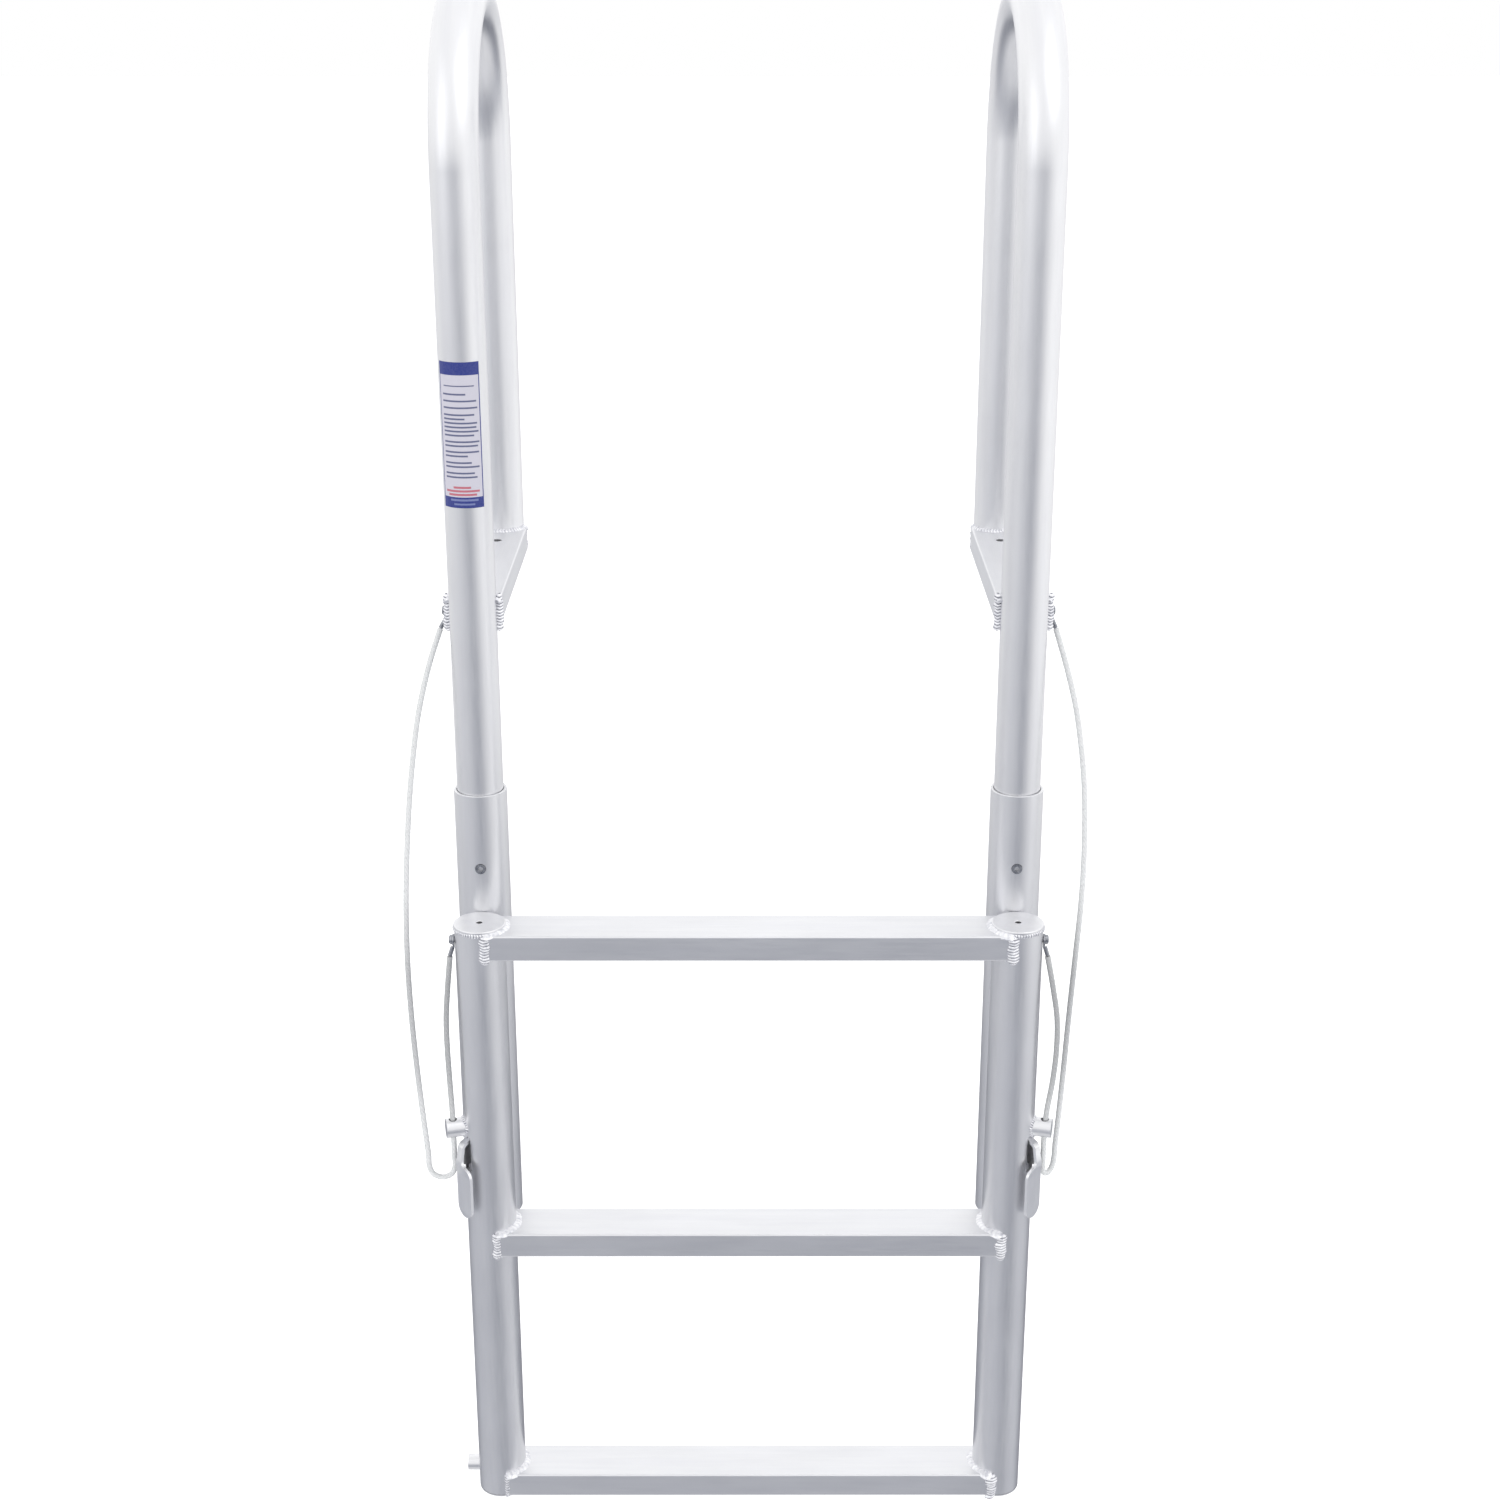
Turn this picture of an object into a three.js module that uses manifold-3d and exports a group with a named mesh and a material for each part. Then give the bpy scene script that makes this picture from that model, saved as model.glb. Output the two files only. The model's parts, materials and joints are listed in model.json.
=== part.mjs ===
// Dock boarding ladder. Two handrail hoops stand on deck brackets, a guide sleeve hangs from the
// front leg of each hoop, and a three-step ladder lifts along the two sleeves. A latch in each
// stile holds the ladder up, and a lanyard on each side is the pull cord.
//
// Millimetres, +Z up. The origin is on the deck surface, midway between the two deck brackets, in
// the plane of the hoops' front legs. -Y is the water side and +X is the right-hand side.
// Each side is drawn once with +X pointing outward from its hoop, and mirrored for the left.

import * as THREE from 'three';
import { mergeVertices } from 'three/addons/utils/BufferGeometryUtils.js';
import Module from 'manifold-3d';

const wasm = await Module();
wasm.setup();

// Driving dimensions
const TUBE_SPACING = 515;            // centre to centre of the two hoops, sleeves and stiles
const GAP = 0.3;                     // left between faces that touch on the real ladder

const HOOP = { outer: 22.2, wall: 3, depth: 280, springLine: 417, foot: -271 };
const SLEEVE = { outer: 25.4, wall: 2.8, top: -161, bottom: -618 };
const STILE = { outer: 24.15, wall: 2.8, y: -51.5, top: -283, bottom: -918 };
const BAR = { wide: 50.8, tall: 25.4, wall: 2.5, corner: 1.6 };     // steps and deck brackets
const STEP_TOPS = { step_top: -283, step_middle: -606.85, step_bottom: -892.6 };
const STEP_HALF_LENGTH = 250;
const BRACKET_INSET = 4;             // how far a bracket's ends stop short of the legs' axes
const DECK_HOLES = { y: [60, 222], radius: 4.75 };
const LIFT = 259;                    // how far the ladder travels up the sleeves

const SET_SCREW = { z: -235, radius: 5, proud: 1, length: 9 };
const GUIDE = { z: { upper: -315, lower: -600 }, height: 36, clearance: 0.45, flat: 11.5 };
const GUIDE_NECK = { halfWidth: 5.6, slotHalfWidth: 6.2, start: 10, end: 25.75, play: 0.5 };
const GUIDE_BOLT = { radius: 3, head: 5.2, headTop: -10, headBase: -6, nutFace: 30, tip: 36.5 };
const GUIDE_NUT = { radius: 5.7, thickness: 5 };

// u is out from the stile's axis along the latch's own direction, and v is across it, towards the
// ladder's outside.
const LATCH = {
  azimuth: THREE.MathUtils.degToRad(40),   // turned this far from straight outward to the front
  pivot: { u: 16.5, z: -499 }, pin: 1.8, pinHalf: 14.1, boss: 3.6, thickness: 3,
  arm: { from: -1.3, to: 6.5 }, leaf: { from: -15.5, to: 7.5, shoulder: -540, tip: -587 },
  finger: { from: 12.6, to: 15.6, toe: -554.5 }, slot: { from: -3.4, to: 8.2, top: -502.5, bottom: -541 },
  web: { from: 4.7, to: 6.5, root: 14, top: -512.5, bottom: -536 },
};
const LATCH_SIDE = [                       // the arm and leaf from the pivot down, as [u, z]
  [16.5, -499], [20, -504.5], [24, -508], [28, -509.5], [30.6, -512.5], [31.2, -518],
  [32.8, -527], [33, -533], [32.4, -541], [32.4, -589],
];
const SPRING = { wire: 0.45, radius: 2.5, turns: 2, perTurn: 10, pitch: 1.05, legUp: 11, legDown: 12 };
const EYE = {
  azimuth: THREE.MathUtils.degToRad(15), radius: 9.5, root: 15, reach: 41.5, hole: 34.5, z: -495.5,
};
const STOP_PEG = { z: -908, y: -34, radius: 8, reach: 38 };
const LABEL = {                      // wraps the left hoop's leg, further round on its outer side
  low: 119, high: 252, thickness: 0.4,
  inward: THREE.MathUtils.degToRad(46), outward: THREE.MathUtils.degToRad(58),
};

const LANYARD = { radius: 2.75, holeRadius: 4 };
const LUG = { ring: 5.5, thickness: 1.5, barrel: 2.1, barrelDrop: 7.8 };
const EYELET_SCREW = { shank: 2.4, head: 4.5, headThickness: 3, depth: 3.2 };
const BRACKET_SCREW = { y: 14, z: 12, face: BAR.wide / 2 };
const STILE_SCREW = { y: STILE.y, z: -297, face: STILE.outer + 0.4 };

const ROUND = 16;                    // half the number of sides of a straight tube's section
const HOOP_ROUND = 12;               // and of a hoop's
const ARC_STEPS = 14;

// Lanyard routes, outward from the hoop's centre line: from the lug to the eye on the stile.
const LONG_ROUTE = {
  left: [
    [33, 13, -6], [43, 8, -35], [51, 4, -64], [57, 0, -92], [65, -8, -150], [70, -17, -208],
    [73, -26, -267], [73.5, -34, -327], [71, -43, -387], [66.5, -51, -447], [62, -57, -495],
    [60, -59, -515], [59, -60, -527], [58.7, -60.4, -538], [55, -60.4, -547.1], [46, -60.4, -550.8],
    [37, -60.4, -547.1], [33.3, -60.4, -538], [33.3, -60.4, -527], [33.3, -60.4, -514],
    [33.3, -60.4, -495.7],
  ],
  right: [
    [32, 13, -6], [41, 8, -35], [49, 4, -64], [55, 0, -92], [62.5, -8, -150], [65, -15, -208],
    [64, -21, -267], [60, -27, -327], [56, -32, -387], [52.5, -36.5, -447], [49.5, -39.6, -495],
    [48, -41, -515], [47.2, -41.6, -528], [46.8, -42, -539.4], [44.8, -44.7, -547.5],
    [40.1, -51.2, -550.8], [35.3, -57.7, -547.5], [33.3, -60.4, -539.4], [33.3, -60.4, -528],
    [33.3, -60.4, -515], [33.3, -60.4, -495.7],
  ],
};
const SHORT_ROUTE = {
  left: [
    [29.5, -53, -314], [33, -54.5, -347], [35.5, -56.5, -379], [35.5, -58.5, -412],
    [34.5, -60, -445], [33.5, -60.4, -477], [33.3, -60.4, -495.3],
  ],
  right: [
    [29.5, -53, -314], [36, -55, -347], [41, -57, -379], [41.5, -59, -412],
    [39, -60.2, -445], [35, -60.4, -475], [33.3, -60.4, -495.3],
  ],
};

// Materials
const finish = (color, roughness, metalness) =>
  new THREE.MeshStandardMaterial({ color, roughness, metalness });
const aluminium = finish(0xc6c8d0, 0.42, 0.9);
const barAluminium = finish(0xb9bcc6, 0.45, 0.85);
const stainless = finish(0x8d9096, 0.35, 0.95);
const plastic = finish(0x3a3c40, 0.6, 0);
const cableSkin = finish(0xd9dadd, 0.4, 0);
const paper = finish(0xf2f3f6, 0.5, 0);

// Solids: a closed geometry becomes a manifold solid for joining and cutting, and comes back.
function toSolid(geometry) {
  const bare = geometry.clone();
  bare.deleteAttribute('normal');
  bare.deleteAttribute('uv');
  const merged = mergeVertices(bare, 1e-4);
  return new wasm.Manifold(new wasm.Mesh({
    numProp: 3,
    vertProperties: new Float32Array(merged.attributes.position.array),
    triVerts: new Uint32Array(merged.index.array),
  }));
}

function toGeometry(solid) {
  const { vertProperties, triVerts } = solid.getMesh();
  const geometry = new THREE.BufferGeometry();
  geometry.setAttribute('position', new THREE.BufferAttribute(new Float32Array(vertProperties), 3));
  geometry.setIndex(new THREE.BufferAttribute(new Uint32Array(triVerts), 1));
  geometry.computeVertexNormals();
  return geometry;
}

const cut = (base, ...tools) =>
  toGeometry(tools.reduce((solid, tool) => solid.subtract(toSolid(tool)), toSolid(base)));
const join = (first, ...others) =>
  toGeometry(others.reduce((solid, other) => solid.add(toSolid(other)), toSolid(first)));
const overlap = (first, second) => toGeometry(toSolid(first).intersect(toSolid(second)));

// Swaps the sides: +X becomes -X, and each triangle is turned over so that it still faces out.
function mirrored(geometry) {
  const loose = geometry.index ? geometry.toNonIndexed() : geometry.clone();
  const flipped = loose.scale(-1, 1, 1);
  const place = flipped.attributes.position;
  const second = new THREE.Vector3();
  const third = new THREE.Vector3();
  for (let i = 0; i < place.count; i += 3) {
    second.fromBufferAttribute(place, i + 1);
    third.fromBufferAttribute(place, i + 2);
    place.setXYZ(i + 1, third.x, third.y, third.z);
    place.setXYZ(i + 2, second.x, second.y, second.z);
  }
  flipped.computeVertexNormals();
  return flipped;
}

// Shapes along Z
function turned(profile, sides = 2 * ROUND) {
  const points = profile.map(([radius, height]) => new THREE.Vector2(radius, height));
  return new THREE.LatheGeometry(points, sides).rotateX(Math.PI / 2);
}

function tube(outer, inner, low, high) {
  return turned([[inner, high], [inner, low], [outer, low], [outer, high], [inner, high]]);
}

function rod(radius, low, high, sides = 2 * ROUND) {
  return new THREE.CylinderGeometry(radius, radius, high - low, sides)
    .rotateX(Math.PI / 2).translate(0, 0, (low + high) / 2);
}

// A rod along Y or along X, between two stations of that axis.
const rodAlongY = (radius, low, high, sides = 16) => rod(radius, -high, -low, sides).rotateX(Math.PI / 2);
const rodAlongX = (radius, low, high, sides = 16) => rod(radius, low, high, sides).rotateY(Math.PI / 2);

function rodBetween(radius, from, to, sides = 16) {
  const start = new THREE.Vector3(...from);
  const along = new THREE.Vector3(...to).sub(start);
  const turn = new THREE.Quaternion().setFromUnitVectors(
    new THREE.Vector3(0, 0, 1), along.clone().normalize());
  return rod(radius, 0, along.length(), sides).applyQuaternion(turn)
    .translate(start.x, start.y, start.z);
}

function box(low, high) {
  const size = high.map((value, axis) => value - low[axis]);
  const middle = high.map((value, axis) => (value + low[axis]) / 2);
  return new THREE.BoxGeometry(...size).translate(...middle);
}

function ringShape(outer, inner) {
  const shape = new THREE.Shape().absarc(0, 0, outer, 0, 2 * Math.PI);
  if (inner) shape.holes.push(new THREE.Path().absarc(0, 0, inner, 0, 2 * Math.PI, true));
  return shape;
}

function roundedRectangle(Outline, wide, tall, corner) {
  const [x, y] = [wide / 2 - corner, tall / 2 - corner];
  const outline = new Outline();
  outline.absarc(x, y, corner, 0, Math.PI / 2);
  outline.absarc(-x, y, corner, Math.PI / 2, Math.PI);
  outline.absarc(-x, -y, corner, Math.PI, 1.5 * Math.PI);
  outline.absarc(x, -y, corner, 1.5 * Math.PI, 2 * Math.PI);
  outline.closePath();
  return outline;
}

// The hollow rectangular bar of the steps and brackets: BAR.wide in X, BAR.tall in Y, long in Z.
function hollowBar(length) {
  const section = roundedRectangle(THREE.Shape, BAR.wide, BAR.tall, BAR.corner);
  const [wide, tall] = [BAR.wide - 2 * BAR.wall, BAR.tall - 2 * BAR.wall];
  section.holes.push(roundedRectangle(THREE.Path, wide, tall, BAR.corner / 2));
  return new THREE.ExtrudeGeometry(section, { depth: length, bevelEnabled: false, curveSegments: 1 });
}

function alongPath(section, path, steps, curveSegments) {
  return new THREE.ExtrudeGeometry(section, {
    steps, extrudePath: path, bevelEnabled: false, curveSegments });
}

// The hoop's centre line: up the front leg, over a half circle, down the rear leg. Its stations
// are the leg ends and the arc's steps, so the straight legs take one step each.
class HoopPath extends THREE.Curve {
  constructor() {
    super();
    this.radius = HOOP.depth / 2;
    this.stations = ARC_STEPS + 2;
  }

  angle(t) {
    return Math.PI * THREE.MathUtils.clamp((t * this.stations - 1) / ARC_STEPS, 0, 1);
  }

  getPoint(t, target = new THREE.Vector3()) {
    const station = t * this.stations;
    const turn = this.angle(t);
    const y = this.radius * (1 - Math.cos(turn));
    let z = HOOP.springLine + this.radius * Math.sin(turn);
    if (station < 1) z = THREE.MathUtils.lerp(HOOP.foot, HOOP.springLine, station);
    if (station > this.stations - 1) {
      z = THREE.MathUtils.lerp(HOOP.springLine, 0, station - this.stations + 1);
    }
    return target.set(0, y, z);
  }

  getPointAt(t, target) {
    return this.getPoint(t, target);
  }

  getTangentAt(t, target = new THREE.Vector3()) {
    const turn = this.angle(t);
    return target.set(0, Math.sin(turn), Math.cos(turn));
  }
}

// Pieces fixed to the deck. A cutting tool runs on past the wall it cuts.
function handrailHoop() {
  const section = ringShape(HOOP.outer, HOOP.outer - HOOP.wall);
  const hoop = alongPath(section, new HoopPath(), ARC_STEPS + 2, HOOP_ROUND);
  return cut(hoop, rodAlongY(SET_SCREW.radius + GAP, -30, 0).translate(0, 0, SET_SCREW.z));
}

function deckBracket() {
  const length = HOOP.depth - 2 * BRACKET_INSET;
  const bar = hollowBar(length).rotateX(Math.PI / 2)
    .translate(0, HOOP.depth - BRACKET_INSET, BAR.tall / 2);
  const legs = [0, HOOP.depth].map((y) => rod(HOOP.outer + GAP, -10, 40).translate(0, y, 0));
  const holes = DECK_HOLES.y.map((y) => rod(DECK_HOLES.radius, -10, 40, 16).translate(0, y, 0));
  const screwHole = rodAlongX(EYELET_SCREW.shank + GAP, 20, 30)
    .translate(0, BRACKET_SCREW.y, BRACKET_SCREW.z);
  return cut(bar, ...legs, ...holes, screwHole);
}

function legPlug() {
  const radius = HOOP.outer - HOOP.wall - GAP;
  return turned([[0, 0], [radius, 0], [radius, 10], [0, 10]], 24).translate(0, HOOP.depth, 0);
}

function guideSleeve() {
  const sleeve = tube(SLEEVE.outer, SLEEVE.outer - SLEEVE.wall, SLEEVE.bottom, SLEEVE.top);
  const boltHoles = Object.values(GUIDE.z).map((z) =>
    rodAlongY(GUIDE_BOLT.radius + GAP, -30, 0).translate(0, 0, z));
  const screwHole = rodAlongY(SET_SCREW.radius + GAP, -30, 0).translate(0, 0, SET_SCREW.z);
  return cut(sleeve, ...boltHoles, screwHole);
}

function sleeveScrew() {
  const face = -SLEEVE.outer - SET_SCREW.proud;
  const body = rodAlongY(SET_SCREW.radius, face, face + SET_SCREW.length);
  const socket = rodAlongY(2.9, face - 1, face + 5, 6);
  return cut(body, socket).translate(0, 0, SET_SCREW.z);
}

// Guides: a round block inside the stile, its neck standing out through the stile's rear slot,
// bolted to the sleeve. The flat leaves room for the latch to pass. Drawn about the stile's axis.
function guideBlock() {
  const radius = STILE.outer - STILE.wall - GUIDE.clearance;
  const half = GUIDE.height / 2;
  const { halfWidth, start, end } = GUIDE_NECK;
  const neck = box([-halfWidth, start, -half], [halfWidth, end, half]);
  const relief = box([GUIDE.flat, -30, -half - 1], [40, 30, half + 1]).rotateZ(-LATCH.azimuth);
  const boltHole = rodAlongY(GUIDE_BOLT.radius + GAP, -30, 30);
  const headPocket = rodAlongY(GUIDE_BOLT.head + 0.8, -30, GUIDE_BOLT.headBase + GAP);
  return cut(join(rod(radius, -half, half), neck), relief, boltHole, headPocket);
}

function guideBolt() {
  const { radius, head, headTop, headBase, tip } = GUIDE_BOLT;
  const profile = [[0, -tip], [radius, -tip], [radius, -headBase], [head, -headBase],
    [head, -headTop - 1], [head - 1, -headTop], [0, -headTop]];
  return turned(profile, 16).rotateX(Math.PI / 2);
}

function guideNut() {
  const { radius, nutFace } = GUIDE_BOLT;
  const body = rodAlongY(GUIDE_NUT.radius, nutFace, nutFace + GUIDE_NUT.thickness, 6);
  return cut(body, rodAlongY(radius + GAP, 0, 60));
}

function label() {
  const { thickness, low, high } = LABEL;
  const inner = HOOP.outer + GAP;
  const [start, end] = [-Math.PI / 2 - LABEL.inward, -Math.PI / 2 + LABEL.outward];
  const outline = new THREE.Shape();
  outline.absarc(0, 0, inner + thickness, start, end);
  outline.absarc(0, 0, inner, end, start, true);
  outline.closePath();
  return new THREE.ExtrudeGeometry(outline, {
    depth: high - low, bevelEnabled: false, curveSegments: 12 }).translate(0, 0, low);
}

// Pieces of the ladder. These are drawn about the stile's axis.
const outwardTurned = (geometry, azimuth) => geometry.rotateZ(-azimuth);

function stile() {
  const body = tube(STILE.outer, STILE.outer - STILE.wall, STILE.bottom, STILE.top);
  const neckTop = GUIDE.z.upper + GUIDE.height / 2 + GUIDE_NECK.play;
  const neckBottom = GUIDE.z.lower - GUIDE.height / 2 - LIFT - 2;
  const half = GUIDE_NECK.slotHalfWidth;
  const guideSlot = box([-half, 12, neckBottom], [half, 30, neckTop]);
  const { slot, pivot, pin, pinHalf } = LATCH;
  const latchSlot = box([18, slot.from, slot.bottom], [30, slot.to, slot.top]);
  const pinSeat = rodAlongY(pin + GAP, -pinHalf - GAP, pinHalf + GAP).translate(pivot.u, 0, pivot.z);
  const screwHole = rodAlongX(EYELET_SCREW.shank + GAP, 15, 30).translate(0, 0, STILE_SCREW.z);
  const turnedTools = [latchSlot, pinSeat].map((tool) => outwardTurned(tool, LATCH.azimuth));
  return cut(body, guideSlot, screwHole, ...turnedTools);
}

function stileCap() {
  const [low, high, radius] = [STILE.top + GAP, STILE.top + 4, STILE.outer + 0.9];
  return turned([[3, high], [3, low], [radius, low], [radius, high - 1], [radius - 1, high], [3, high]]);
}

function stileFootCap() {
  const [high, low, radius] = [STILE.bottom - GAP, STILE.bottom - 3.5, STILE.outer];
  return turned([[4, high], [4, low], [radius - 3, low], [radius - 1, low + 0.9], [radius, low + 2.6],
    [radius, high], [4, high]]);
}

function step(top) {
  const turn = new THREE.Matrix4().set(0, 0, 1, -STEP_HALF_LENGTH, 1, 0, 0, STILE.y,
    0, 1, 0, top - BAR.tall / 2, 0, 0, 0, 1);
  const bar = hollowBar(2 * STEP_HALF_LENGTH).applyMatrix4(turn);
  const stiles = [-1, 1].map((side) => rod(STILE.outer + GAP, top - 40, top + 20)
    .translate(side * TUBE_SPACING / 2, STILE.y, 0));
  return cut(bar, ...stiles);
}

// The latch: an arm comes out of the stile's slot and down to a knee, a broad leaf hangs below it,
// and a finger hangs inside the stile. Pushed towards the tube, the leaf swings the finger's end
// in over the upper guide block, which then holds the lifted ladder. The arm and leaf are one bent
// strip, cut to their outline from the front, and a web through the slot ties the arm to the finger.
function latchLever() {
  const { pivot, pin, boss, thickness, arm, finger, web } = LATCH;
  const plate = overlap(strip(LATCH_SIDE, thickness, 20), latchOutline());
  const hub = rodAlongY(boss, arm.from, arm.to).translate(pivot.u, 0, pivot.z);
  const tail = box([finger.from, arm.from, finger.toe], [finger.to, arm.to, pivot.z + 1]);
  const webSide = [[web.root, web.top], ...LATCH_SIDE.slice(4, 8), [web.root, web.bottom]];
  const tie = sidePlate(webSide, web.from, web.to);
  const bore = rodAlongY(pin + GAP / 2, -20, 20).translate(pivot.u, 0, pivot.z);
  return outwardTurned(cut(join(hub, plate, tail, tie), bore), LATCH.azimuth);
}

// The arm and leaf's outline, drawn across and up, and thick enough along u to take in the strip.
function latchOutline() {
  const { pivot, arm, leaf } = LATCH;
  const round = (leaf.to - leaf.from) / 2;
  const outline = new THREE.Shape();
  outline.moveTo(arm.from, pivot.z);
  outline.lineTo(arm.from, leaf.shoulder + 13);
  outline.bezierCurveTo(arm.from, leaf.shoulder + 7, leaf.from, leaf.shoulder + 9,
    leaf.from, leaf.shoulder);
  outline.lineTo(leaf.from, leaf.tip + round);
  outline.absarc(leaf.from + round, leaf.tip + round, round, Math.PI, 2 * Math.PI);
  outline.lineTo(leaf.to, leaf.shoulder + 6);
  outline.quadraticCurveTo(leaf.to, leaf.shoulder + 11, arm.to, leaf.shoulder + 16);
  outline.lineTo(arm.to, pivot.z);
  outline.closePath();
  const acrossToY = new THREE.Matrix4().set(0, 0, 1, 0, 1, 0, 0, 0, 0, 1, 0, 0, 0, 0, 0, 1);
  return new THREE.ExtrudeGeometry(outline, { depth: 60, bevelEnabled: false, curveSegments: 8 })
    .applyMatrix4(acrossToY);
}

// A bent strip: its centre line in the X-Z plane, its width in Y.
function strip(points, thickness, halfWidth) {
  const stations = points.map(([x, z]) => new THREE.Vector2(x, z));
  const offset = (index, side) => {
    const before = stations[Math.max(index - 1, 0)];
    const after = stations[Math.min(index + 1, stations.length - 1)];
    const along = after.clone().sub(before).normalize();
    const across = new THREE.Vector2(along.y, -along.x).multiplyScalar(side * thickness / 2);
    return stations[index].clone().add(across);
  };
  const indices = stations.map((_, index) => index);
  const edge = indices.map((index) => offset(index, 1));
  const back = indices.reverse().map((index) => offset(index, -1));
  return sidePlate([...edge, ...back].map(({ x, y }) => [x, y]), -halfWidth, halfWidth);
}

// A flat plate: its outline in the X-Z plane, its thickness between two stations of Y.
function sidePlate(outline, from, to) {
  const shape = new THREE.Shape(outline.map(([x, z]) => new THREE.Vector2(x, z)));
  return new THREE.ExtrudeGeometry(shape, { depth: to - from, bevelEnabled: false })
    .rotateX(Math.PI / 2).translate(0, to, 0);
}

function latchPin() {
  const { pivot, pin, pinHalf, azimuth } = LATCH;
  return outwardTurned(rodAlongY(pin, -pinHalf, pinHalf, 16).translate(pivot.u, 0, pivot.z), azimuth);
}

// A torsion spring beside the latch's hub, wound on the pin, with one leg on the finger's side
// and one leg up the stile's wall.
function latchSpring() {
  const { pivot, arm, azimuth } = LATCH;
  const { wire, radius, turns, perTurn, pitch, legUp, legDown } = SPRING;
  const start = arm.from - wire - 2 * GAP;
  const points = [new THREE.Vector3(pivot.u - radius, start, pivot.z - legDown)];
  for (let i = 0; i <= turns * perTurn; i += 1) {
    const angle = Math.PI + (2 * Math.PI * i) / perTurn;
    points.push(new THREE.Vector3(pivot.u + radius * Math.cos(angle), start - (pitch * i) / perTurn,
      pivot.z - radius * Math.sin(angle)));
  }
  points.push(new THREE.Vector3(pivot.u - radius, start - pitch * turns, pivot.z + legUp));
  const path = new THREE.CatmullRomCurve3(points, false, 'centripetal');
  return outwardTurned(alongPath(ringShape(wire), path, 34, 3), azimuth);
}

function lanyardEye() {
  const stub = rodAlongX(EYE.radius, EYE.root, EYE.reach, 28).translate(0, 0, EYE.z);
  const hole = rod(LANYARD.holeRadius, EYE.z - 15, EYE.z + 15, 20).translate(EYE.hole, 0, 0);
  const wall = rod(STILE.outer + GAP, EYE.z - 20, EYE.z + 20);
  return outwardTurned(cut(stub, hole, wall), EYE.azimuth);
}

function stopPeg() {
  const peg = rodAlongX(STOP_PEG.radius, 4, STOP_PEG.reach).translate(0, STOP_PEG.y - STILE.y, STOP_PEG.z);
  return cut(peg, rod(STILE.outer + GAP, STOP_PEG.z - 20, STOP_PEG.z + 20));
}

// Lanyards and their ends. A screw clamps a lug to the bracket or the stile, and the cable starts
// in the lug's barrel.
function eyeletScrew({ y, z, face }) {
  const { shank, head, headThickness, depth } = EYELET_SCREW;
  const under = face + GAP + LUG.thickness + GAP;
  const profile = [[0, face - depth], [shank, face - depth], [shank, under], [head, under],
    [head, under + headThickness - 1], [head - 1, under + headThickness], [0, under + headThickness]];
  return turned(profile, 16).rotateY(Math.PI / 2).translate(0, y, z);
}

function lanyardLug({ y, z, face }, route) {
  const low = face + GAP;
  const ring = rodAlongX(LUG.ring, low, low + LUG.thickness).translate(0, y, z);
  const first = new THREE.Vector3(...route[0]);
  const next = new THREE.Vector3(...route[1]);
  const end = first.clone().add(first.clone().sub(next).setLength(3 * GAP));
  const barrel = rodBetween(LUG.barrel, [low + LUG.barrel - GAP, y, z - LUG.barrelDrop], end.toArray());
  const tongue = box([low, y - 2, z - LUG.barrelDrop - 1], [low + LUG.thickness, y + 2, z - 3]);
  const hole = rodAlongX(EYELET_SCREW.shank + GAP, low - 5, low + 10).translate(0, y, z);
  const wall = box([face - 10, y - 20, z - 25], [low, y + 20, z + 12]);
  return cut(join(ring, tongue, barrel), hole, wall);
}

function lanyard(route, steps) {
  const path = new THREE.CatmullRomCurve3(
    route.map((point) => new THREE.Vector3(...point)), false, 'centripetal');
  return alongPath(ringShape(LANYARD.radius), path, steps, 4);
}

// Assembly
const ladder = new THREE.Group();

function addPiece(name, geometry, material, position = [0, 0, 0]) {
  const mesh = new THREE.Mesh(geometry, material);
  mesh.name = name;
  mesh.position.set(...position);
  ladder.add(mesh);
}

for (const [side, sign] of [['left', -1], ['right', 1]]) {
  const add = (name, geometry, material, y = 0, z = 0) => addPiece(`${name}_${side}`,
    sign < 0 ? mirrored(geometry) : geometry, material, [sign * TUBE_SPACING / 2, y, z]);

  add('handrail_hoop', handrailHoop(), aluminium);
  add('deck_bracket', deckBracket(), barAluminium);
  add('rear_leg_plug', legPlug(), plastic);
  add('guide_sleeve', guideSleeve(), aluminium);
  add('sleeve_set_screw', sleeveScrew(), stainless);
  for (const [level, z] of Object.entries(GUIDE.z)) {
    add(`guide_block_${level}`, guideBlock(), plastic, STILE.y, z);
    add(`guide_bolt_${level}`, guideBolt(), stainless, STILE.y, z);
    add(`guide_nut_${level}`, guideNut(), stainless, STILE.y, z);
  }
  add('bracket_lanyard_screw', eyeletScrew(BRACKET_SCREW), stainless);
  add('long_lanyard_lug', lanyardLug(BRACKET_SCREW, LONG_ROUTE[side]), stainless);
  add('long_lanyard', lanyard(LONG_ROUTE[side], 50), cableSkin);

  add('stile', stile(), aluminium, STILE.y);
  add('stile_cap', stileCap(), aluminium, STILE.y);
  add('stile_foot_cap', stileFootCap(), aluminium, STILE.y);
  add('latch_lever', latchLever(), aluminium, STILE.y);
  add('latch_pin', latchPin(), stainless, STILE.y);
  add('latch_spring', latchSpring(), stainless, STILE.y);
  add('lanyard_eye', lanyardEye(), aluminium, STILE.y);
  add('stile_lanyard_screw', eyeletScrew(STILE_SCREW), stainless);
  add('short_lanyard_lug', lanyardLug(STILE_SCREW, SHORT_ROUTE[side]), stainless);
  add('short_lanyard', lanyard(SHORT_ROUTE[side], 16), cableSkin);
  if (side === 'left') {
    add('lower_stop_peg', stopPeg(), aluminium, STILE.y);
    add('instruction_label', label(), paper);
  }
}
for (const [name, top] of Object.entries(STEP_TOPS)) addPiece(name, step(top), barAluminium);

export default ladder;
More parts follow.
